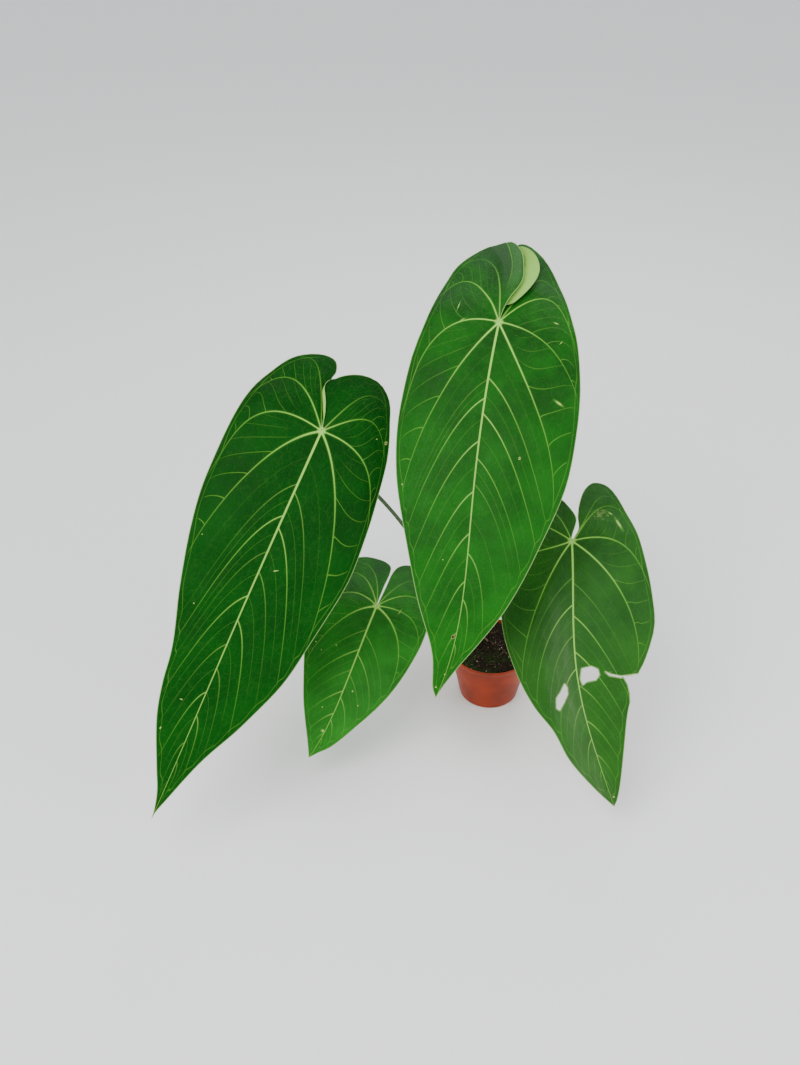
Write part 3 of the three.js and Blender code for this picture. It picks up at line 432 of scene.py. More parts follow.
        # the strip that the sinus edge is rolled back by
        width, radius, turn = self.shape["lip"]
        at = self.flat(0, share)
        before, after = (self.flat(0, np.clip(share + move, 0, 1)) for move in (-0.005, 0.005))
        run = self.place(midrib, *after.T) - self.place(midrib, *before.T)
        up = self.normal(midrib, *at.T)
        off = np.cross(up, run) * self.direction
        off = off / np.maximum(np.linalg.norm(off, axis=1, keepdims=True), 1e-9)
        done = np.interp(share, self.even, self.rearProgress)
        rolled = np.maximum(done - sheet["lipStart"], 0) / (1 - sheet["lipStart"])
        reach = (-number * width * np.sin(np.pi * rolled)**sheet["lipSwell"])[:, None]
        opened = np.minimum(sheet["lipOpening"] * rolled, sheet["lipClosing"] * (1 - rolled))
        opened = np.minimum(opened, 1)[:, None]
        angle = np.minimum(reach / radius, math.radians(turn) * opened)
        rest = reach - radius * angle
        centre = (self.place(midrib, *at.T) + off * (radius * np.sin(angle) + rest * np.cos(angle))
                  + up * (radius * (1 - np.cos(angle)) + rest * np.sin(angle)))
        return centre, up * np.cos(angle) - off * np.sin(angle), at


def insideOutline(points, outline):
    x, y = points[..., 0], points[..., 1]
    inside = np.zeros(x.shape, bool)
    for (x0, y0), (x1, y1) in zip(outline, outline[1:] + outline[:1]):
        crosses = (y0 > y) != (y1 > y)
        inside ^= crosses & (x < (x1 - x0) * (y - y0) / (y1 - y0 + 1e-12) + x0)
    return inside


def nearestOnLine(points, line, closed=False):
    # the nearest place on a line of points, and how far it is
    line = np.asarray(line, float)
    ends = np.roll(line, -1, axis=0) if closed else line[1:]
    best = np.full(len(points), 1e9)
    spot = points.copy()
    for a, b in zip(line, ends):
        run = b - a
        t = np.clip(((points - a) @ run) / max(run @ run, 1e-12), 0, 1)
        foot = a + t[:, None] * run
        gap = np.linalg.norm(points - foot, axis=1)
        closer = gap < best
        best[closer], spot[closer] = gap[closer], foot[closer]
    return spot, best


def cutHoles(flat, holes):
    # which cells of a flat grid stay, with the cells' corners moved onto the holes' outlines
    kept = np.ones((flat.shape[0] - 1, flat.shape[1] - 1), bool)
    centres = (flat[:-1, :-1] + flat[1:, :-1] + flat[:-1, 1:] + flat[1:, 1:]) / 4
    for hole in holes:
        kept &= ~insideOutline(centres, hole)
    if not holes:
        return kept
    for _ in range(6):
        # no two cells touch across a tear by a corner alone
        a, b, c, d = kept[:-1, :-1], kept[1:, 1:], kept[:-1, 1:], kept[1:, :-1]
        a &= ~(a & b & ~c & ~d)
        c &= ~(c & d & ~a & ~b)
    gone, stays = (m[:-1, :-1] | m[1:, :-1] | m[:-1, 1:] | m[1:, 1:]
                   for m in (np.pad(~kept, 1), np.pad(kept, 1)))
    edge = gone & stays
    points = flat[edge]
    spot, best = points.copy(), np.full(len(points), 9.0)
    for hole in holes:
        foot, gap = nearestOnLine(points, hole, closed=True)
        closer = gap < best
        spot[closer], best[closer] = foot[closer], gap[closer]
    flat[edge] = spot
    return kept


def halfGrid(leaf, half, midrib, lateralLines):
    # the half blade's points in space, its relief and its map values, line by line
    rolled = "lip" in half.shape
    lines = (lipLines if rolled else []) + sinusLines
    lines = lines + [n + part for n in (1, 2, 3) for part in veinLines]
    numbers = np.array(lines + [half.veinAt(y) for y in lateralLines])
    shares = np.linspace(0, 1, leaf.get("rows", sheet["rows"]))**sheet["rowPower"]
    flat = np.stack([half.flat(max(n, 0), shares) for n in numbers])
    flat[:, 0, 0] = 0
    flat[:, 0, 1] = [0.0] * len(lines) + list(lateralLines)
    flat[-1] = (0, half.length)
    holes = [[(x * half.direction, y) for x, y in hole] for hole in leaf.get("holes", [])]
    kept = cutHoles(flat, holes)
    x, y = flat[..., 0], flat[..., 1]
    mid = half.place(midrib, x, y)
    normal = half.normal(midrib, x, y)
    lipRows = numbers < 0
    for i in np.nonzero(lipRows)[0]:
        mid[i], normal[i], flat[i] = half.lip(midrib, numbers[i], shares)
    # distance between neighbouring veins, square to them
    alongQ = np.gradient(flat, numbers, axis=0)
    alongR = np.gradient(flat, shares, axis=1)
    run = np.maximum(np.linalg.norm(alongR, axis=-1), 1e-6)
    gap = np.abs(alongQ[..., 0] * alongR[..., 1] - alongQ[..., 1] * alongR[..., 0]) / run
    margin = half.outline[half.apex:] if rolled else half.outline
    flatPoints = flat.reshape(-1, 2)
    edge = nearestOnLine(flatPoints, margin[::10])[1].reshape(x.shape)
    if rolled:
        toEdge = (1 + numbers[lipRows]) * half.shape["lip"][0]
        edge[lipRows] = np.minimum(edge[lipRows], toEdge[:, None])
    rim = edge
    for hole in holes:
        # the torn rims are paler and wider than the leaf's own margin
        away = nearestOnLine(flatPoints, hole, closed=True)[1].reshape(x.shape)
        rim = np.minimum(rim, away * sheet["holeRim"])
    taper = 1 - sheet["ribTaper"] * np.maximum(y, 0) / half.length
    number, share = np.meshgrid(numbers, shares, indexing="ij")
    nearest = np.round(number)
    widths = (a - b * share for a, b in (sheet["basalWidth"], sheet["lateralWidth"]))
    width = np.where(nearest <= len(basalLeans), *widths)
    vein = (1 - share) * np.exp(-(np.abs(number - nearest) * gap / width)**2) * (number > 0.5)
    rib = np.where(y >= 0, np.exp(-(x / (sheet["midribWidth"] * taper + 0.2))**2), 0)
    rib = np.maximum(rib, np.exp(-(x**2 + y**2) / sheet["star"]))
    swell = np.abs(np.sin(np.pi * number))**0.75 * np.sin(np.pi * share)
    puff = sheet["quilt"] * taper * swell * (1 - share) * (number > 1)
    puff = puff * np.minimum(gap / sheet["quiltGap"], 1)
    pitch = sheet["ripplePitch"]
    ripple = np.array([[noise.noise(Vector((a / pitch, b / pitch, leaf["seed"])))
                        for a, b in line] for line in flat])
    puff = puff + sheet["ripple"] * ripple * np.sin(np.pi * share) * (1 - rib)
    boldness = (*basalBold, *half.shape["bold"], tipBold)
    bold = np.interp(number, np.arange(len(boldness)), boldness)
    skin = sheet["thickness"] / 2
    top = skin + sheet["midribCrest"] * taper * rib + sheet["veinCrest"] * vein + puff
    bottom = -skin - sheet["midribKeel"] * taper * rib - sheet["veinKeel"] * vein + puff
    # the bold value of a left half has 2 added, so the material can tell the halves apart
    maps = np.stack([number, share, gap, edge, x * half.direction, y,
                     bold + (2 if half.direction < 0 else 0), rim], -1)
    return kept, maps, mid, mid + normal * top[..., None], mid + normal * bottom[..., None]


def joinQuads(quads, same):
    # rings of joined points without doubled corners, each with the points its values come from
    rings = []
    for quad in quads.tolist():
        corners = {}
        for k in range(4):
            if same[quad[k]] != same[quad[k - 1]]:
                corners.setdefault(same[quad[k]], quad[k])
        if len(corners) > 2:
            rings.append(corners)
    return rings


def makeBlade(name, leaf):
    # points and faces of both halves, joined at the midrib, with an under side and a rim
    halves = [HalfBlade(leaf, "left", -1), HalfBlade(leaf, "right", 1)]
    length = halves[0].length
    midrib = Midrib(leaf, length, max(half.lobe for half in halves))
    stations = np.unique(np.round(np.concatenate([half.stations for half in halves]), 4))
    lines = []
    for low, high in zip(stations, stations[1:]):
        count = max(2, round((high - low) / leaf.get("cell", sheet["cell"])))
        lines += list(np.linspace(low, high, count, endpoint=False))
    lines += [length]
    stores, quads, start = ([], [], [], []), [], 0
    for half in halves:
        kept, *grids = halfGrid(leaf, half, midrib, lines)
        index = start + np.arange(grids[0][..., 0].size).reshape(grids[0].shape[:2])
        cells = np.stack([index[:-1, :-1], index[:-1, 1:], index[1:, 1:], index[1:, :-1]], -1)
        quads.append(cells[kept][:, ::-half.direction])
        for store, grid in zip(stores, grids):
            store.append(grid.reshape(-1, grid.shape[-1]))
        start += index.size
    maps, mids, tops, bottoms = (np.concatenate(v) for v in stores)
    _, first, same = np.unique(np.round(mids, 3), axis=0, return_index=True, return_inverse=True)
    rings = joinQuads(np.concatenate(quads), same.reshape(-1).tolist())
    count = len(first)
    sides = {}
    for ring in rings:
        corners = list(ring.items())
        for k in range(len(corners)):
            (a, p), (b, q) = corners[k - 1], corners[k]
            if (b, a) in sides:
                del sides[b, a]
            else:
                sides[a, b] = (p, q)
    polygons = [list(ring) for ring in rings]
    sources = [list(ring.values()) for ring in rings]
    polygons += [[v + count for v in reversed(ring)] for ring in polygons]
    sources += [values[::-1] for values in sources]
    for (a, b), (p, q) in sides.items():
        polygons.append([b, a, a + count, b + count])
        sources.append([q, p, p, q])
    verts = np.concatenate([tops[first], bottoms[first]]) * mm
    piece = meshPiece("leaf_" + name, verts.tolist(), polygons)
    mesh = piece.data
    values = maps[np.concatenate(sources)].astype(np.float32)
    for i, title in enumerate(("veinMap", "gapMap", "flatMap", "boldMap")):
        layer = mesh.uv_layers.new(name=title)
        layer.data.foreach_set("uv", values[:, 2 * i:2 * i + 2].ravel())
    material = np.zeros(len(polygons), np.int32)
    material[len(rings):2 * len(rings)] = 1
    mesh.polygons.foreach_set("material_index", material)
    smoothFaces(mesh, sheet["creaseAngle"])
    for side in ("upper", "under"):
        mesh.materials.append(leafMaterial(name, leaf, side, length))
    print("blade", name, len(polygons), "faces")
    return piece, midrib


class Value:
    # a socket's value, which takes part in ordinary arithmetic
    def __init__(self, nodes, socket):
        self.nodes, self.socket = nodes, socket

    def maths(self, operation, *values):
        return self.nodes.add("ShaderNodeMath", {"operation": operation}, dict(enumerate(values)))

    def __add__(self, other): return self.maths("ADD", self, other)
    def __sub__(self, other): return self.maths("SUBTRACT", self, other)
    def __rsub__(self, other): return self.maths("SUBTRACT", other, self)
    def __mul__(self, other): return self.maths("MULTIPLY", self, other)
    def __truediv__(self, other): return self.maths("DIVIDE", self, other)
    def __pow__(self, other): return self.maths("POWER", self, other)
    def __abs__(self): return self.maths("ABSOLUTE", self)
    def most(self, other): return self.maths("MAXIMUM", self, other)
    __radd__, __rmul__ = __add__, __mul__

    def toWhole(self):
        # how far it is from the nearest whole number
        return abs(self - self.maths("ROUND", self))

    def rise(self, low, high, start=0.0, end=1.0):
        # a smooth step from one value to another
        return self.nodes.add("ShaderNodeMapRange", {"interpolation_type": "SMOOTHSTEP"}, {
            "Value": self, "From Min": low, "From Max": high, "To Min": start, "To Max": end})

    def fall(self, low, high, start=1.0, end=0.0): return self.rise(low, high, start, end)


class Nodes:
    # a node tree, and the one method that adds a node to it
    def __init__(self, tree):
        self.tree = tree

    def feed(self, socket, value):
        if isinstance(value, Value):
            self.tree.links.new(value.socket, socket)
        else:
            socket.default_value = (*value, 1) if socket.type == "RGBA" else value

    def add(self, kind, settings=None, inputs=None, out=0):
        made = self.tree.nodes.new(kind)
        for key, value in (settings or {}).items():
            setattr(made, key, value)
        for key, value in (inputs or {}).items():
            self.feed(made.inputs[key], value)
        return Value(self, made.outputs[out] if made.outputs else None)


class Skin(Nodes):
    # a material on the Principled shader
    def __init__(self, name, gloss=0.5):
        self.material = bpy.data.materials.new(name)
        self.material.use_nodes = True
        super().__init__(self.material.node_tree)
        self.shader = self.tree.nodes["Principled BSDF"]
        self.shader.inputs["Specular IOR Level"].default_value = gloss

    def paint(self, body, *coats):
        # lays coats of (mask, colour) over a colour
        for mask, colour in coats:
            body = self.add("ShaderNodeMix", {"data_type": "RGBA"}, {0: mask, 6: body, 7: colour},
                            out=2)
        return body

    def split(self, vector):
        made = self.add("ShaderNodeSeparateXYZ", {}, {0: vector})
        return [Value(self, socket) for socket in made.socket.node.outputs]

    def mapped(self, title):
        pair = self.add("ShaderNodeUVMap", {"uv_map": title})
        return (pair, *self.split(pair)[:2])

    def noise(self, vector, scale, detail=3.0, rough=0.5, out=0):
        return self.add("ShaderNodeTexNoise", {}, {
            "Vector": vector, "Scale": scale, "Detail": detail, "Roughness": rough}, out)

    def stretched(self, vector, scale, turn=0.0):
        return self.add("ShaderNodeMapping", {}, {
            "Vector": vector, "Scale": scale, "Rotation": (0, 0, turn)})

    def objectPlace(self):
        return self.add("ShaderNodeTexCoord", out=3)

    def finish(self, colour, rough, height=None, strength=0.0, distance=0.0):
        self.feed(self.shader.inputs["Base Color"], colour)
        self.feed(self.shader.inputs["Roughness"], rough)
        if height:
            self.feed(self.shader.inputs["Normal"], self.add("ShaderNodeBump", {}, {
                "Height": height, "Strength": strength, "Distance": distance}))
        return self.material


class Recipe(Nodes):
    # a Geometry Nodes tree with named inputs, which ends in real faces of one material
    def __init__(self, title, sizes):
        super().__init__(bpy.data.node_groups.new(title, "GeometryNodeTree"))
        self.sizes, self.ids = sizes, {}
        new = self.tree.interface.new_socket
        new("Geometry", in_out="INPUT", socket_type="NodeSocketGeometry")
        for label, value in sizes.items():
            kind = "NodeSocketInt" if isinstance(value, int) else "NodeSocketFloat"
            self.ids[label] = new(label, in_out="INPUT", socket_type=kind).identifier
        new("Geometry", in_out="OUTPUT", socket_type="NodeSocketGeometry")
        given = self.add("NodeGroupInput").socket.node
        self.given = {socket.name: Value(self, socket) for socket in given.outputs}

    def close(self, made, material, soft=False):
        made = self.add("GeometryNodeRealizeInstances", {}, {0: made})
        if soft:
            made = self.add("GeometryNodeSetShadeSmooth", {}, {0: made})
        made = self.add("GeometryNodeSetMaterial", {}, {"Geometry": made, "Material": material})
        self.add("NodeGroupOutput", {}, {0: made})

    def run(self, host, **changes):
        # the plain mesh that the tree makes of the host
        modifier = host.modifiers.new(self.tree.name, "NODES")
        modifier.node_group = self.tree
        for label, value in {**self.sizes, **changes}.items():
            modifier[self.ids[label]] = value
        mesh = evaluated(host)
        host.modifiers.remove(modifier)
        return mesh


leafLook = {
    "vein": (0.16, 0.43, 0.045), "rib": (0.32, 0.64, 0.1), "net": (0.05, 0.2, 0.018),
    "margin": (0.26, 0.42, 0.13), "under": (0.085, 0.2, 0.03), "underPale": (0.13, 0.27, 0.05),
    # the grey on the next line is part dust and part painted sheen
    # the rolled strip's colour is a paler underside, part its own colour and part painted light
    "rolled": (0.25, 0.5, 0.085), "underVein": (0.28, 0.47, 0.13), "dustAndSheenGrey": (0.1, 0.15, 0.07),
    # the two fold greens are painted shade and painted sheen for the centre leaf's bent lobe strip
    "cream": (0.46, 0.58, 0.17), "foldPaintedShade": (0.026, 0.066, 0.021),
    "foldPaintedSheen": (0.045, 0.14, 0.034), "rot": (0.03, 0.018, 0.008), "rotEdge": (0.3, 0.25, 0.1),
    "roughness": {"upper": 0.34, "under": 0.54}, "bump": (0.6, 0.001),
    "cells": ((0.105, 0.6), (0.3, -0.5)), "wobble": (0.004, 2600.0),
}


def thinLine(away, half):
    return (away / half).fall(0.45, 1.3)


def veinMasks(n, length):
    # bright lines along the midrib, the main veins and the finer ones between them
    _, number, share = n.mapped("veinMap")
    _, gap, edge = n.mapped("gapMap")
    flat, x, y = n.mapped("flatMap")
    _, marked, rim = n.mapped("boldMap")
    left = marked.rise(1.4, 1.5)
    toVein = number.toWhole() * gap
    basal = number.fall(4.45, 4.55)
    half = basal * (1.15 - 0.75 * share) + (1 - basal) * (0.85 - 0.5 * share)
    reach = number.rise(0.45, 0.5) * share.fall(0.86, 0.97)
    fade = (1 - share.rise(0.0, 0.9) * 0.62) * (y / length).fall(0.78, 1.0, 1.0, 0.3)
    shown = reach * (marked - left * 2.0) * fade
    # side branches that leave the front basal vein, and the loops that join the veins' ends
    whole = number.maths("FLOOR", number)
    across = 1 - (number - whole)
    step = share * 6.5 - across**1.25 * 3.6 + whole * 0.37
    branch = thinLine(step.toWhole(), 0.02) * (1 - across * 0.75)
    outer = number.rise(1.0, 1.3) * number.fall(3.97, 4.0) * share.rise(0.12, 0.3)
    inner = thinLine((number - 0.5).toWhole() * gap, 0.4)
    inner = inner * number.rise(4.4, 4.6) * share.fall(0.4, 0.9)
    wave = number * 6.283
    loop = edge - 6.5 - 1.3 * wave.maths("COSINE", wave)
    ring = thinLine(abs(loop), 0.5) * number.rise(0.5, 1.0) * share.rise(0.3, 0.6)
    return {
        "flat": flat, "number": number, "share": share, "x": x, "y": y, "left": left, "rim": rim,
        "line": thinLine(toVein, half) * shown,
        "glow": (toVein / (half * 5)).fall(0.0, 1.0) * shown,
        "rib": thinLine(abs(x), 0.3 + 1.5 * (1 - y / length)) * y.rise(-2.0, 1.0),
        "star": (x * x + y * y).fall(0.0, 60.0),
        "fine": (branch * outer * edge.rise(6.0, 10.0)).most(inner * 0.35).most(ring * 0.5),
    }


def upperCoats(n, name, leaf, mask, length, broad, cloudy, mesh, net):
    look, share, y, flat = leafLook, mask["share"], mask["y"], mask["flat"]
    pale = broad.rise(0.3, 0.7) * 0.6 + (y / length).rise(-0.1, 0.9) * 0.45
    body = n.paint(leaf["deep"], (pale, leaf["bright"]),
                   (cloudy.rise(0.4, 0.75) * 0.25, leaf["bright"]),
                   (mesh * 0.03 + net * 0.07, look["net"]),
                   (mask["glow"] * mask["glow"] * 0.4, look["net"]))
    # streaks of grey, part dust and part painted sheen
    dustAndSheenStreaks = n.noise(n.stretched(flat, (1, 0.15, 1)), 0.1, 4, 0.6).rise(0.42, 0.72)
    if name == "right":
        # a dull grey streak beside the midrib, part dust and part painted sheen
        where = abs(mask["x"] + 20).fall(4.0, 34.0) * y.rise(40.0, 200.0)
        body = n.paint(body, (dustAndSheenStreaks * where * 0.3 + where * 0.22, look["dustAndSheenGrey"]))
    # a light grey coat over the whole blade, part dust and part painted sheen
    body = n.paint(body, (dustAndSheenStreaks * 0.06 * leaf["sheen"], look["dustAndSheenGrey"]))
    if name == "centre":
        # the lobe's inner strip is bent: a band of painted shade, a thin pale line and a band of
        # painted sheen
        bent = mask["number"] / (0.92 - share * 0.42)
        fold = bent.fall(0.9, 1.02) * mask["left"] * share.rise(0.12, 0.4) * bent.rise(0.02, 0.2)
        body = n.paint(body, (fold * bent.rise(0.5, 0.62) * 0.65, look["foldPaintedShade"]),
                       (fold * bent.fall(0.48, 0.6) * 0.55, look["foldPaintedSheen"]),
                       (fold * thinLine(abs(bent - 0.56), 0.018) * 0.35, look["vein"]))
    bright = n.paint(look["rib"], (share.rise(0.0, 0.45), look["vein"]))
    body = n.paint(body, (mask["fine"] * 0.42, look["vein"]),
                   (mask["line"] * leaf["lines"], bright),
                   (mask["rib"] * (0.95 - 0.4 * (y / length)), look["rib"]),
                   (mask["star"] * 0.8, look["rib"]))
    return paintMarks(n, leaf["marks"], mask, body)


# Each kind of mark in coats: on its clean or ragged shape, where it fades from and to, how strong
# it is and which colour it has
markCoats = {
    "pale": (("ragged", 0.1, 1.1, 0.8, "cream"),),
    "scar": (("clean", 0.6, 4.5, 0.35, "vein"), ("ragged", 0.1, 1.2, 0.85, "cream")),
    "ring": (("ragged", 0.7, 1.5, 0.8, "cream"), ("clean", 0.2, 0.5, 0.9, "rot")),
    "rot": (("ragged", 1.0, 2.0, 0.7, "rotEdge"), ("clean", 0.5, 0.8, 1.0, "rot")),
}


def paintMarks(n, marks, mask, body):
    flat = mask["flat"]
    uneven = n.noise(flat, 0.42, 3, 0.7)
    for markX, markY, wide, tall, kind, turn in marks:
        across, along = turned(mask["x"] - markX, mask["y"] - markY, math.radians(turn))
        across, along = across / wide, along / tall
        away = {"clean": (across * across + along * along) * 1.5}
        away["ragged"] = away["clean"] + (uneven - 0.5) * 2.2
        for shape, low, high, strength, colour in markCoats.get(kind, ()):
            body = n.paint(body, (away[shape].fall(low, high, strength), leafLook[colour]))
        if kind == "scribble":
            # thin pale threads in patches
            thread = abs(n.noise(flat, 0.4, 5, 0.75) - 0.5).fall(0.0, 0.035)
            patch = away["clean"].fall(0.2, 1.6) * n.noise(flat, 0.15, 3).rise(0.4, 0.62)
            body = n.paint(body, (patch * thread * 0.7, leafLook["cream"]))
    return body


def leafMaterial(name, leaf, side, length):
    n = Skin("leaf_%s_%s" % (name, side), leaf["gloss"])
    mask = veinMasks(n, length)
    flat = mask["flat"]
    broad, cloudy = n.noise(flat, 0.014), n.noise(flat, 0.06, 4, 0.6)
    # the fine net's cells, on a place that wobbles a little
    mixing, push = leafLook["wobble"]
    wobble = n.add("ShaderNodeVectorMath", {"operation": "SCALE"}, {
        0: n.noise(flat, 0.09, 2.0, out=1), 3: push})
    wobble = n.add("ShaderNodeMix", {"data_type": "VECTOR"}, {0: mixing, 4: flat, 5: wobble}, out=1)
    net, mesh = (n.add("ShaderNodeTexVoronoi", {"feature": "DISTANCE_TO_EDGE"}, {
        "Vector": n.stretched(wobble, (1.0, 0.62, 1.0), turn), "Scale": scale}).fall(0.0, thin)
        for (scale, turn), thin in zip(leafLook["cells"], (0.085, 0.14)))
    if side == "upper":
        body = upperCoats(n, name, leaf, mask, length, broad, cloudy, mesh, net)
    else:
        lines = mask["line"].most(mask["rib"]).most(mask["star"]) * 0.85
        body = n.paint(leafLook["under"], (broad.rise(0.3, 0.7), leafLook["underPale"]),
                       # the rolled strip's underside is painted paler: part its own pale underside,
                       # part painted light where it catches the lamp
                       (mask["number"].fall(-0.1, 0.5), leafLook["rolled"]),
                       (mesh * 0.12 + net * 0.2, leafLook["underVein"]),
                       (lines, leafLook["underVein"]))
    body = n.paint(body, (mask["rim"].fall(0.5, 1.3, 0.75), leafLook["margin"]))
    grain = n.noise(flat, 1.3, 2)
    height = mesh * -0.35 + net * -0.5 + mask["fine"] * -0.4 + grain * 0.12 + cloudy * 1.2
    rough = leafLook["roughness"][side] + cloudy * 0.2 + mask["line"] * 0.08
    return n.finish(body, rough, height, *leafLook["bump"])


def rodRecipe(title, sides, material):
    # turns lines with a girth at each point into closed rods
    n = Recipe(title, {"Steps": 40, "Sides": sides})
    girth = n.add("GeometryNodeInputNamedAttribute", {"data_type": "FLOAT"}, {"Name": "girth"})
    line = n.add("GeometryNodeMeshToCurve", {}, {"Mesh": n.given["Geometry"]})
    line = n.add("GeometryNodeResampleCurve", {}, {"Curve": line, "Count": n.given["Steps"]})
    line = n.add("GeometryNodeSetCurveRadius", {}, {"Curve": line, "Radius": girth})
    ring = n.add("GeometryNodeCurvePrimitiveCircle", {}, {
        "Resolution": n.given["Sides"], "Radius": 1.0})
    rod = n.add("GeometryNodeCurveToMesh", {}, {
        "Curve": line, "Profile Curve": ring, "Fill Caps": True})
    if "Scale" in rod.socket.node.inputs:
        n.feed(rod.socket.node.inputs["Scale"], girth)
    n.close(rod, material, soft=True)
    return n


def makeRods(name, paths, recipe, steps):
    # paths is a list of (points in mm, radii in mm)
    verts, edges, girth = [], [], []
    for points, radii in paths:
        start = len(verts)
        verts += [tuple(p * mm) for p in points]
        girth += [r * mm for r in radii]
        edges += [(start + i, start + i + 1) for i in range(len(points) - 1)]
    host = meshPiece(name + "_path", verts, [], edges)
    setPointValues(host.data, "girth", girth)
    made = recipe.run(host, Steps=steps)
    bpy.data.objects.remove(host)
    return newPiece(name, made)


def scatterRecipe(title, shapes, material, sizes):
    # lumps scattered over the host, as densely as its open value says
    n = Recipe(title, sizes)
    given = n.given
    clear = n.add("GeometryNodeInputNamedAttribute", {"data_type": "FLOAT"}, {"Name": "open"})
    points = n.add("GeometryNodeDistributePointsOnFaces", {}, {
        "Mesh": given["Geometry"], "Density": clear * given["Amount"], "Seed": given["Seed"]})
    turn = n.add("FunctionNodeRandomValue", {"data_type": "FLOAT_VECTOR"}, {
        "Max": (6.28, 6.28, 6.28), "Seed": given["Seed"]})
    size = n.add("FunctionNodeRandomValue", {"data_type": "FLOAT"}, {
        2: given["Smallest"], 3: given["Largest"]}, out=1)
    lumps = n.add("GeometryNodeJoinGeometry")
    for shape in shapes:
        n.feed(lumps.socket.node.inputs[0], n.add("GeometryNodeObjectInfo", {}, {
            "Object": shape, "As Instance": True}, out="Geometry"))
    n.close(n.add("GeometryNodeInstanceOnPoints", {}, {
        "Points": points, "Instance": lumps, "Pick Instance": True, "Rotation": turn,
        "Scale": size}), material)
    return n


stalkLook = {
    "top": 3.0, "base": 4.5, "taper": 2.5, "knee": 4.4, "kneeLength": 26, "keelGap": 2.6,
    "kneeDrop": 16, "sides": 20, "steps": 90,
    "deep": (0.018, 0.05, 0.012), "bright": (0.055, 0.13, 0.03), "speck": (0.12, 0.2, 0.06),
}


def stalkPath(leaf, midrib):
    place, _, up, _ = midrib.at(np.array(0.0))
    top = place - up * stalkLook["keelGap"]
    knee = top - up * stalkLook["kneeDrop"]
    points = roundedLine([leaf["foot"], leaf["bow"], knee, top], 60)
    done = lengthShares(points)
    length = np.linalg.norm(np.diff(points, axis=0), axis=1).sum()
    thinned = np.minimum(done * stalkLook["taper"], 1)
    slim = stalkLook["base"] + (stalkLook["top"] - stalkLook["base"]) * thinned
    kneeShare = smooth((1 - (1 - done) * length / stalkLook["kneeLength"]) * 2)
    return points, slim + (stalkLook["knee"] - slim) * kneeShare


def stalkMaterial():
    n = Skin("stalk")
    place = n.objectPlace()
    streak = n.noise(n.stretched(place, (900, 900, 60)), 1.0)
    specks = n.add("ShaderNodeTexVoronoi", {}, {"Vector": place, "Scale": 420.0})
    body = n.paint(stalkLook["deep"], (streak.rise(0.3, 0.7), stalkLook["bright"]),
                   (specks.fall(0.05, 0.22, 0.35), stalkLook["speck"]))
    return n.finish(body, 0.42 + streak * 0.15, streak, 0.3, 0.0004)


pot = {
    "rim": 70.0, "base": 49.0, "height": 98.0, "wall": 1.6, "floor": 2.4, "bead": 1.2, "band": 6.0,
    "holes": 6, "holeRadius": 4.0, "holeCircle": 36.0, "sides": 144, "creaseAngle": 38,
    "gloss": 0.18,
    "light": (0.33, 0.034, 0.007), "dark": (0.2, 0.022, 0.005),
    "scuff": (0.45, 0.13, 0.07), "dust": (0.2, 0.12, 0.08),
}
potSlope = (pot["rim"] - pot["base"]) / pot["height"]


def potMaterial():
    n = Skin("pot", pot["gloss"])
    place = n.objectPlace()
    cloud, dust = n.noise(place, 22.0), n.noise(place, 160.0, 5, 0.7)
    scuff = n.noise(n.stretched(place, (260, 260, 900)), 1.0, 4, 0.7)
    low = n.split(place)[2].rise(0.02, 0.0)
    body = n.paint(pot["light"], (cloud.rise(0.3, 0.7), pot["dark"]),
                   (scuff.rise(0.62, 0.82) * 0.18, pot["scuff"]),
                   (dust.rise(0.6, 0.8) * low * 0.3, pot["dust"]))
    grooves = n.noise(n.stretched(place, (2, 2, 700)), 1.0, 2)
    return n.finish(body, 0.34 + cloud * 0.14, grooves * 0.5 + dust * 0.3, 0.25, 0.0003)


def spunPiece(name, profile, sides):
    # a closed profile turned round the Z axis; its points are (radius, height) in mm
    verts, faces, caps = [], [], []
    count = len(profile) - 2
    low, high = sides * count, sides * count + 1
    for i in range(sides):
        turn = 2 * math.pi * i / sides
        verts += [(r * mm * math.cos(turn), r * mm * math.sin(turn), z * mm)
                  for r, z in profile[1:-1]]
        here, there = i * count, (i + 1) % sides * count
        faces += [(here + k, there + k, there + k + 1, here + k + 1) for k in range(count - 1)]
        caps += [(low, there, here), (high, here + count - 1, there + count - 1)]
    verts += [(0, 0, profile[0][1] * mm), (0, 0, profile[-1][1] * mm)]
    return meshPiece(name, verts, faces + caps)


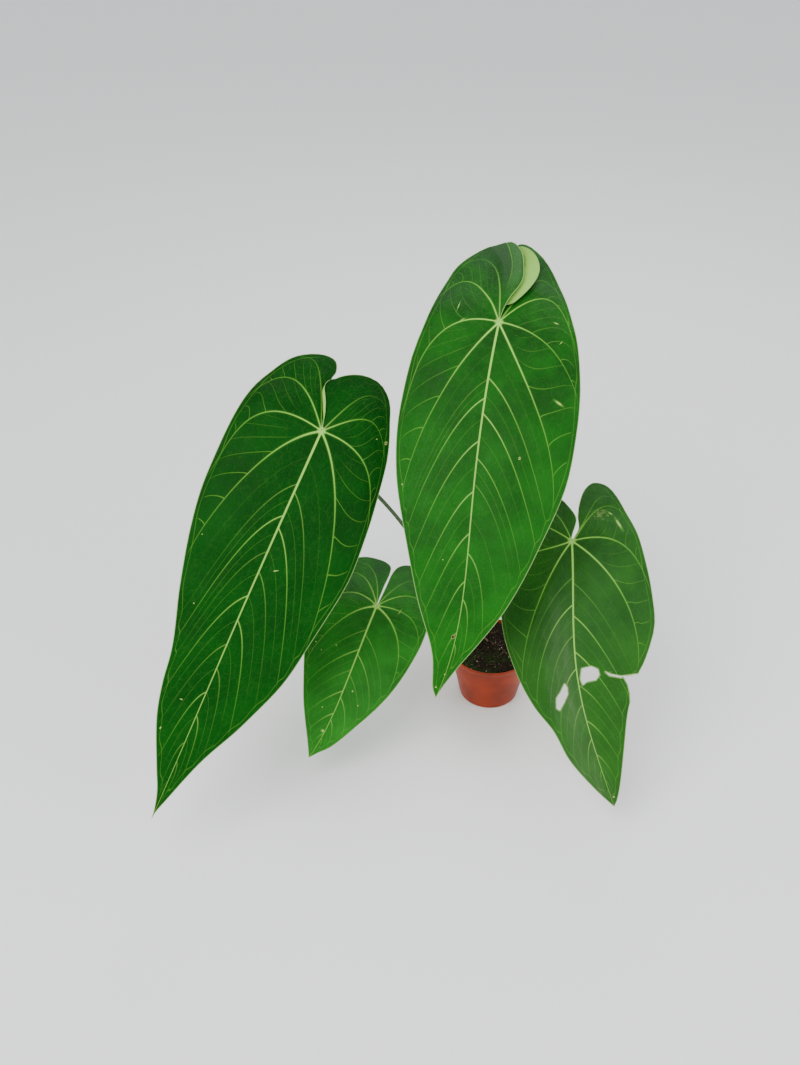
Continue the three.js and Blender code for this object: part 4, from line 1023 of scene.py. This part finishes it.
def makePot():
    rim, base, top, wall = (pot[key] for key in ("rim", "base", "height", "wall"))
    under = top - pot["band"]
    outer = lambda z: base + potSlope * z
    neck = outer(under) - pot["bead"]
    profile = [(0, 0.6), (base - 7, 0.6), (base - 6, 0), (base - 2, 0), (base - 0.9, 0.35),
               (base + 0.1, 1.1), (base + 0.4, 2.4)]
    profile += [(outer(z) + (neck - outer(under)) * z / under, z)
                for z in np.linspace(4, under - 0.4, 14)]
    profile += [(neck + 0.25, under), (rim - 0.35, under + 0.75), (rim, under + 1.2),
                (rim, top - 0.8), (rim - 0.2, top - 0.25), (rim - 0.7, top),
                (rim - wall + 0.2, top), (rim - wall - 0.15, top - 0.3), (neck - wall, under - 2)]
    profile += [(outer(z) - wall - pot["bead"] * z / top, z) for z in np.linspace(top - 14, 6, 6)]
    profile += [(base - wall - 1.2, pot["floor"] + 0.6), (base - wall - 3, pot["floor"]),
                (0, pot["floor"])]
    piece = spunPiece("pot_shell", profile, pot["sides"])
    bm = bmesh.new()
    for i in range(pot["holes"]):
        turn = 2 * math.pi * i / pot["holes"]
        radius = pot["holeRadius"] * mm
        made = bmesh.ops.create_cone(bm, cap_ends=True, segments=32, radius1=radius,
                                     radius2=radius, depth=0.02)
        shift = Vector((math.cos(turn), math.sin(turn), 0)) * pot["holeCircle"] * mm
        bmesh.ops.translate(bm, verts=made["verts"], vec=shift)
    drains = meshPiece("drains", [], [])
    bm.to_mesh(drains.data)
    bm.free()
    cut = piece.modifiers.new("drains", "BOOLEAN")
    cut.object, cut.solver = drains, "EXACT"
    mesh = evaluated(piece)
    piece.modifiers.clear()
    piece.data = mesh
    bpy.data.objects.remove(drains)
    finishMesh(mesh, pot["creaseAngle"], potMaterial())
    return piece


soil = {
    "drop": 5.0, "mound": 6.0, "lump": 1.8, "bottom": 2.7, "sides": 150, "rings": 46,
    "grain": 0.8, "grainPitch": 5, "openRadius": 63.5, "openFrom": 85, "creaseAngle": 60,
    "openArea": math.pi * 0.063**2,  # square metres that the litter's counts are for
    "brown": (0.008, 0.005, 0.003), "grey": (0.026, 0.018, 0.011), "moss": (0.018, 0.034, 0.006),
}
stemLook = {
    "place": (-24.0, 20.0), "radius": 11.0, "bottom": 62.0, "top": 122.0, "ring": 9.0,
    "gap": 0.7, "sides": 40, "dent": 1.2, "taper": 0.02, "rough": 0.5, "creaseAngle": 60,
    "rootRadius": 2.2, "roots": 5, "rootReach": (24, 8), "rootFoot": 106,
    "skin": ((0.035, 0.032, 0.012), (0.13, 0.11, 0.045), 210.0, 0.7),
    "rootSkin": ((0.05, 0.035, 0.018), (0.16, 0.12, 0.06), 260.0, 0.8),
}
# What lies on the soil: each lump's seed and squash, the count on the whole top, sizes in metres,
# and the skin's two colours, grain, roughness and moss
litter = {
    "soil_crumbs": {
        "lumps": ((3, (1, 1, 0.8)), (5, (1.3, 0.8, 0.6)), (8, (1, 1.2, 0.9))), "seed": 4,
        "count": 2300, "size": (0.0007, 0.0021),
        "skin": ((0.006, 0.004, 0.0025), (0.032, 0.02, 0.011), 240.0, 0.92, 0.8)},
    "soil_perlite": {
        "lumps": ((13, (1, 1, 0.9)),), "seed": 9, "count": 34, "size": (0.0006, 0.0014),
        "skin": ((0.42, 0.4, 0.34), (0.7, 0.68, 0.6), 300.0, 0.85)},
    "soil_chips": {
        "lumps": ((17, (1.9, 0.8, 0.4)), (19, (1.4, 0.6, 0.5))), "seed": 6,
        "count": 110, "size": (0.0012, 0.0026),
        "skin": ((0.035, 0.018, 0.01), (0.14, 0.075, 0.04), 200.0, 0.85)},
}
fibres = {
    "seed": 23, "count": 26, "x": (-52, 55), "y": (-58, 50), "within": 52, "clear": 17,
    "edge": 60, "reach": (6, 17), "wander": 0.35, "lift": 0.5, "arch": 1.4, "girth": (0.22, 0.45),
}


def fromStem(x, y):
    return math.hypot(x - stemLook["place"][0], y - stemLook["place"][1])


def soilHeight(x, y):
    mound = soil["mound"] * smooth(1 - np.hypot(x, y) / pot["rim"])
    lumps = (np.sin(x * 0.31 + 1.3) * np.sin(y * 0.27 + 0.4) + 0.6 * np.sin(x * 0.62 - y * 0.5)
             + 0.4 * np.sin(x * 0.2 + y * 0.93 + 2))
    return pot["height"] - soil["drop"] + mound + soil["lump"] * 0.5 * lumps


def earthMaterial(title, low, high, scale, rough, mossy=0.0):
    # a grainy skin, with moss towards the front of the pot
    n = Skin(title, 0.25)
    place = n.objectPlace()
    grain = n.noise(place, scale, 5, 0.65)
    body = n.paint(low, (grain.rise(0.3, 0.7), high))
    if mossy:
        body = n.paint(body, (mossMask(n, place) * mossy, soil["moss"]))
    return n.finish(body, rough + grain * 0.1, grain, 0.6, 0.0006)


def mossMask(n, place):
    return n.noise(place, 38.0).rise(0.4, 0.58) * n.split(place)[1].rise(0.0, -0.035)


def soilMaterial():
    n = Skin("soil", 0.15)
    place = n.objectPlace()
    coarse = n.noise(place, 190.0, 6, 0.75)
    body = n.paint(soil["brown"], (coarse.rise(0.35, 0.72), soil["grey"]),
                   (mossMask(n, place) * 0.75, soil["moss"]))
    return n.finish(body, 0.95, coarse, 0.9, 0.0015)


def makeSoil():
    # rings from the foot up the side and inwards over the top, down into the stem's pit
    rim = pot["rim"] - pot["wall"] - pot["bead"] - 0.3 - 2 - potSlope * soil["drop"] + 1.2
    base = pot["base"] - pot["wall"] - 0.8
    pit = stemLook["radius"] + stemLook["gap"]
    shares = np.linspace(1, pit / rim, soil["rings"])
    sides = soil["sides"]
    turns = np.linspace(0, 2 * np.pi, sides, endpoint=False)
    rings = [(base, 0, soil["bottom"])]
    rings += [(rim * share, (1 - share) / (1 - shares[-1]), None) for share in shares]
    rings += [(pit, 1, stemLook["bottom"] - 0.3)]
    verts = []
    for radius, shift, height in rings:
        x = radius * np.cos(turns) + stemLook["place"][0] * shift
        y = radius * np.sin(turns) + stemLook["place"][1] * shift
        z = np.full_like(x, height or 0)
        if height is None:
            pitch = soil["grainPitch"]
            rough = np.array([noise.fractal(Vector((a / pitch, b / pitch, 3)), 0.7, 2, 4)
                              for a, b in zip(x, y)])
            z = soilHeight(x, y) + soil["grain"] * rough
        verts += np.stack([x * mm, y * mm, z * mm], -1).tolist()
    last = len(rings) - 1
    faces = [(i * sides + j, i * sides + (j + 1) % sides, (i + 1) * sides + (j + 1) % sides,
              (i + 1) * sides + j) for i in range(last) for j in range(sides)]
    faces += [tuple(reversed(range(sides))), tuple(last * sides + j for j in range(sides))]
    piece = meshPiece("soil_bed", verts, faces)
    finishMesh(piece.data, soil["creaseAngle"], soilMaterial())
    # one on the open top of the soil, nought on its sides and in the stem's pit
    clear = []
    for v in piece.data.vertices:
        x, y, z = v.co.x / mm, v.co.y / mm, v.co.z / mm
        clear.append(z > soil["openFrom"] and fromStem(x, y) > stemLook["radius"] + 1.6
                     and math.hypot(x, y) < soil["openRadius"])
    setPointValues(piece.data, "open", clear)
    return piece


def makeLump(seed, squash):
    # a lump with a few dozen faces
    random.seed(seed)
    bm = bmesh.new()
    bmesh.ops.create_icosphere(bm, subdivisions=1, radius=1.0)
    for v in bm.verts:
        v.co *= 0.72 + 0.5 * random.random()
        for axis in range(3):
            v.co[axis] *= squash[axis]
    lump = meshPiece("lump", [], [])
    bm.to_mesh(lump.data)
    bm.free()
    return lump


def scatterOn(host, name, look):
    shapes = [makeLump(*lump) for lump in look["lumps"]]
    smallest, largest = look["size"]
    sizes = {"Amount": look["count"] / soil["openArea"], "Smallest": smallest,
             "Largest": largest, "Seed": look["seed"]}
    skin = earthMaterial(name, *look["skin"])
    piece = newPiece(name, scatterRecipe(name, shapes, skin, sizes).run(host))
    for shape in shapes:
        bpy.data.objects.remove(shape)
    print(name, len(piece.data.polygons), "faces")
    return piece


def makeStem():
    radius, top, z = stemLook["radius"], stemLook["top"], stemLook["bottom"]
    profile = [(0, z)]
    while z < top - 6:
        done = z - stemLook["bottom"]
        dent = stemLook["dent"] * math.exp(-((done / stemLook["ring"] % 1 - 0.5) / 0.16)**2)
        profile.append((radius - dent - stemLook["taper"] * done, z))
        z += 0.9
    profile += [(radius * 0.8, top - 4), (radius * 0.6, top - 2), (radius * 0.3, top - 0.6),
                (0, top)]
    piece = spunPiece("stem_short", profile, stemLook["sides"])
    for v in piece.data.vertices:
        x, y, z = v.co.x / mm, v.co.y / mm, v.co.z / mm
        rough = stemLook["rough"] * noise.noise(Vector((x / 4, y / 4, z / 4)))
        scale = 1 + (rough if math.hypot(x, y) > 0.2 else 0) / radius
        v.co = (((x * scale) + stemLook["place"][0]) * mm,
                ((y * scale) + stemLook["place"][1]) * mm, z * mm)
    finishMesh(piece.data, stemLook["creaseAngle"], earthMaterial("stem", *stemLook["skin"]))
    return piece


def rootPaths():
    # the same roots as in the solids, from the same fixed sequence of numbers
    state, paths = 11, []
    centre = np.array([*stemLook["place"], 0])
    radius, thick = stemLook["radius"], stemLook["rootRadius"]
    for i in range(stemLook["roots"]):
        picks = []
        for _ in range(2):
            state = (state * 1664525 + 1013904223) % 4294967296
            picks.append(state / 4294967296)
        turn = 2 * math.pi * (i + 0.35 * picks[0]) / stemLook["roots"] + 0.5
        reach = stemLook["rootReach"][0] + stemLook["rootReach"][1] * picks[1]
        way = np.array([math.cos(turn), math.sin(turn), 0])
        end = way * reach + centre
        ground = float(soilHeight(end[0], end[1])) + thick + 0.3 + 1.5
        foot = stemLook["rootFoot"]
        line = roundedLine([way * (radius - 5) + centre + (0, 0, foot),
                            way * (radius + 3) + centre + (0, 0, foot - 0.5),
                            way * reach * 0.8 + centre + (0, 0, ground + 3),
                            end + (0, 0, ground)], 20)
        radii = thick * (1 - 0.35 * lengthShares(line))
        radii[-4:] *= np.array([0.95, 0.85, 0.65, 0.35])
        paths.append((line, radii))
    return paths


def fibrePaths():
    # thin dead roots lying on the soil
    random.seed(fibres["seed"])
    paths = []
    while len(paths) < fibres["count"]:
        x, y = random.uniform(*fibres["x"]), random.uniform(*fibres["y"])
        if math.hypot(x, y) > fibres["within"] or fromStem(x, y) < fibres["clear"]:
            continue
        turn, reach = random.uniform(0, 6.28), random.uniform(*fibres["reach"])
        points = []
        for k in range(5):
            px, py = x + math.cos(turn) * reach * k / 4, y + math.sin(turn) * reach * k / 4
            turn += random.uniform(-fibres["wander"], fibres["wander"])
            arch = fibres["arch"] * math.sin(math.pi * k / 4) if k % 4 else 0.0
            points.append((px, py, float(soilHeight(px, py)) + fibres["lift"] + arch))
        line = roundedLine(points, 5)
        if np.hypot(line[:, 0], line[:, 1]).max() < fibres["edge"]:
            paths.append((line, np.full(len(line), random.uniform(*fibres["girth"]))))
    return paths


def handOver(piece, node=None):
    if node:
        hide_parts(node)
    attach(piece, "root")


print("blades and stalks")
stalkRecipe = rodRecipe("stalk_along_path", stalkLook["sides"], stalkMaterial())
for name, leaf in leaves.items():
    blade, midrib = makeBlade(name, leaf)
    handOver(blade, "blade_" + name)
    stalk = makeRods("leafstalk_" + name, [stalkPath(leaf, midrib)], stalkRecipe,
                     stalkLook["steps"])
    handOver(stalk, "stalk_" + name)

print("pot, soil and stem")
handOver(makePot(), "pot")
soilBed = makeSoil()
for name, look in litter.items():
    handOver(scatterOn(soilBed, name, look))
handOver(soilBed, "soil")
rootRecipe = rodRecipe("root_along_path", 10, earthMaterial("root", *stemLook["rootSkin"]))
handOver(makeStem(), "stem")
handOver(makeRods("stem_roots", rootPaths(), rootRecipe, 24))
handOver(makeRods("soil_fibres", fibrePaths(), rootRecipe, 12))

print("floor, light and camera")
studio = {"floor": (0.9, 0.9, 0.89), "roughness": 0.8, "sky": (0.95, 0.97, 1.0), "light": 1.0}
floor = meshPiece("floor", [(-6, -6, 0), (6, -6, 0), (6, 6, 0), (-6, 6, 0)], [(0, 1, 2, 3)])
floor.data.materials.append(Skin("floor").finish(studio["floor"], studio["roughness"]))

lights = {
    "key": {"place": (-1.1, -1.5, 2.6), "aim": (-0.1, -0.05, 0.35), "size": 1.6, "power": 62},
    "fill": {"place": (1.7, -1.2, 1.6), "aim": (0.0, 0.0, 0.3), "size": 1.8, "power": 22},
    "back": {"place": (0.3, 1.6, 2.2), "aim": (0.0, 0.1, 0.4), "size": 1.4, "power": 18},
}
for name, look in lights.items():
    lamp = bpy.data.lights.new(name, "AREA")
    lamp.size, lamp.energy = look["size"], look["power"]
    holder = newPiece(name, lamp)
    holder.location = look["place"]
    way = Vector(look["aim"]) - Vector(look["place"])
    holder.rotation_euler = way.to_track_quat("-Z", "Y").to_euler()

world = bpy.data.worlds.new("studio")
world.use_nodes = True
sky = world.node_tree.nodes["Background"].inputs
sky["Color"].default_value = (*studio["sky"], 1)
sky["Strength"].default_value = studio["light"]
bpy.context.scene.world = world

view = {"place": (-0.152, -1.460, 1.392), "pitch": 36.0, "lens": 39.21}
lens = bpy.data.cameras.new("camera")
lens.sensor_fit, lens.sensor_height = "VERTICAL", 36.0
lens.lens, lens.clip_end = view["lens"], 30
camera = newPiece("camera", lens)
camera.location = view["place"]
camera.rotation_euler = (math.radians(90 - view["pitch"]), 0, 0)
bpy.context.scene.camera = camera
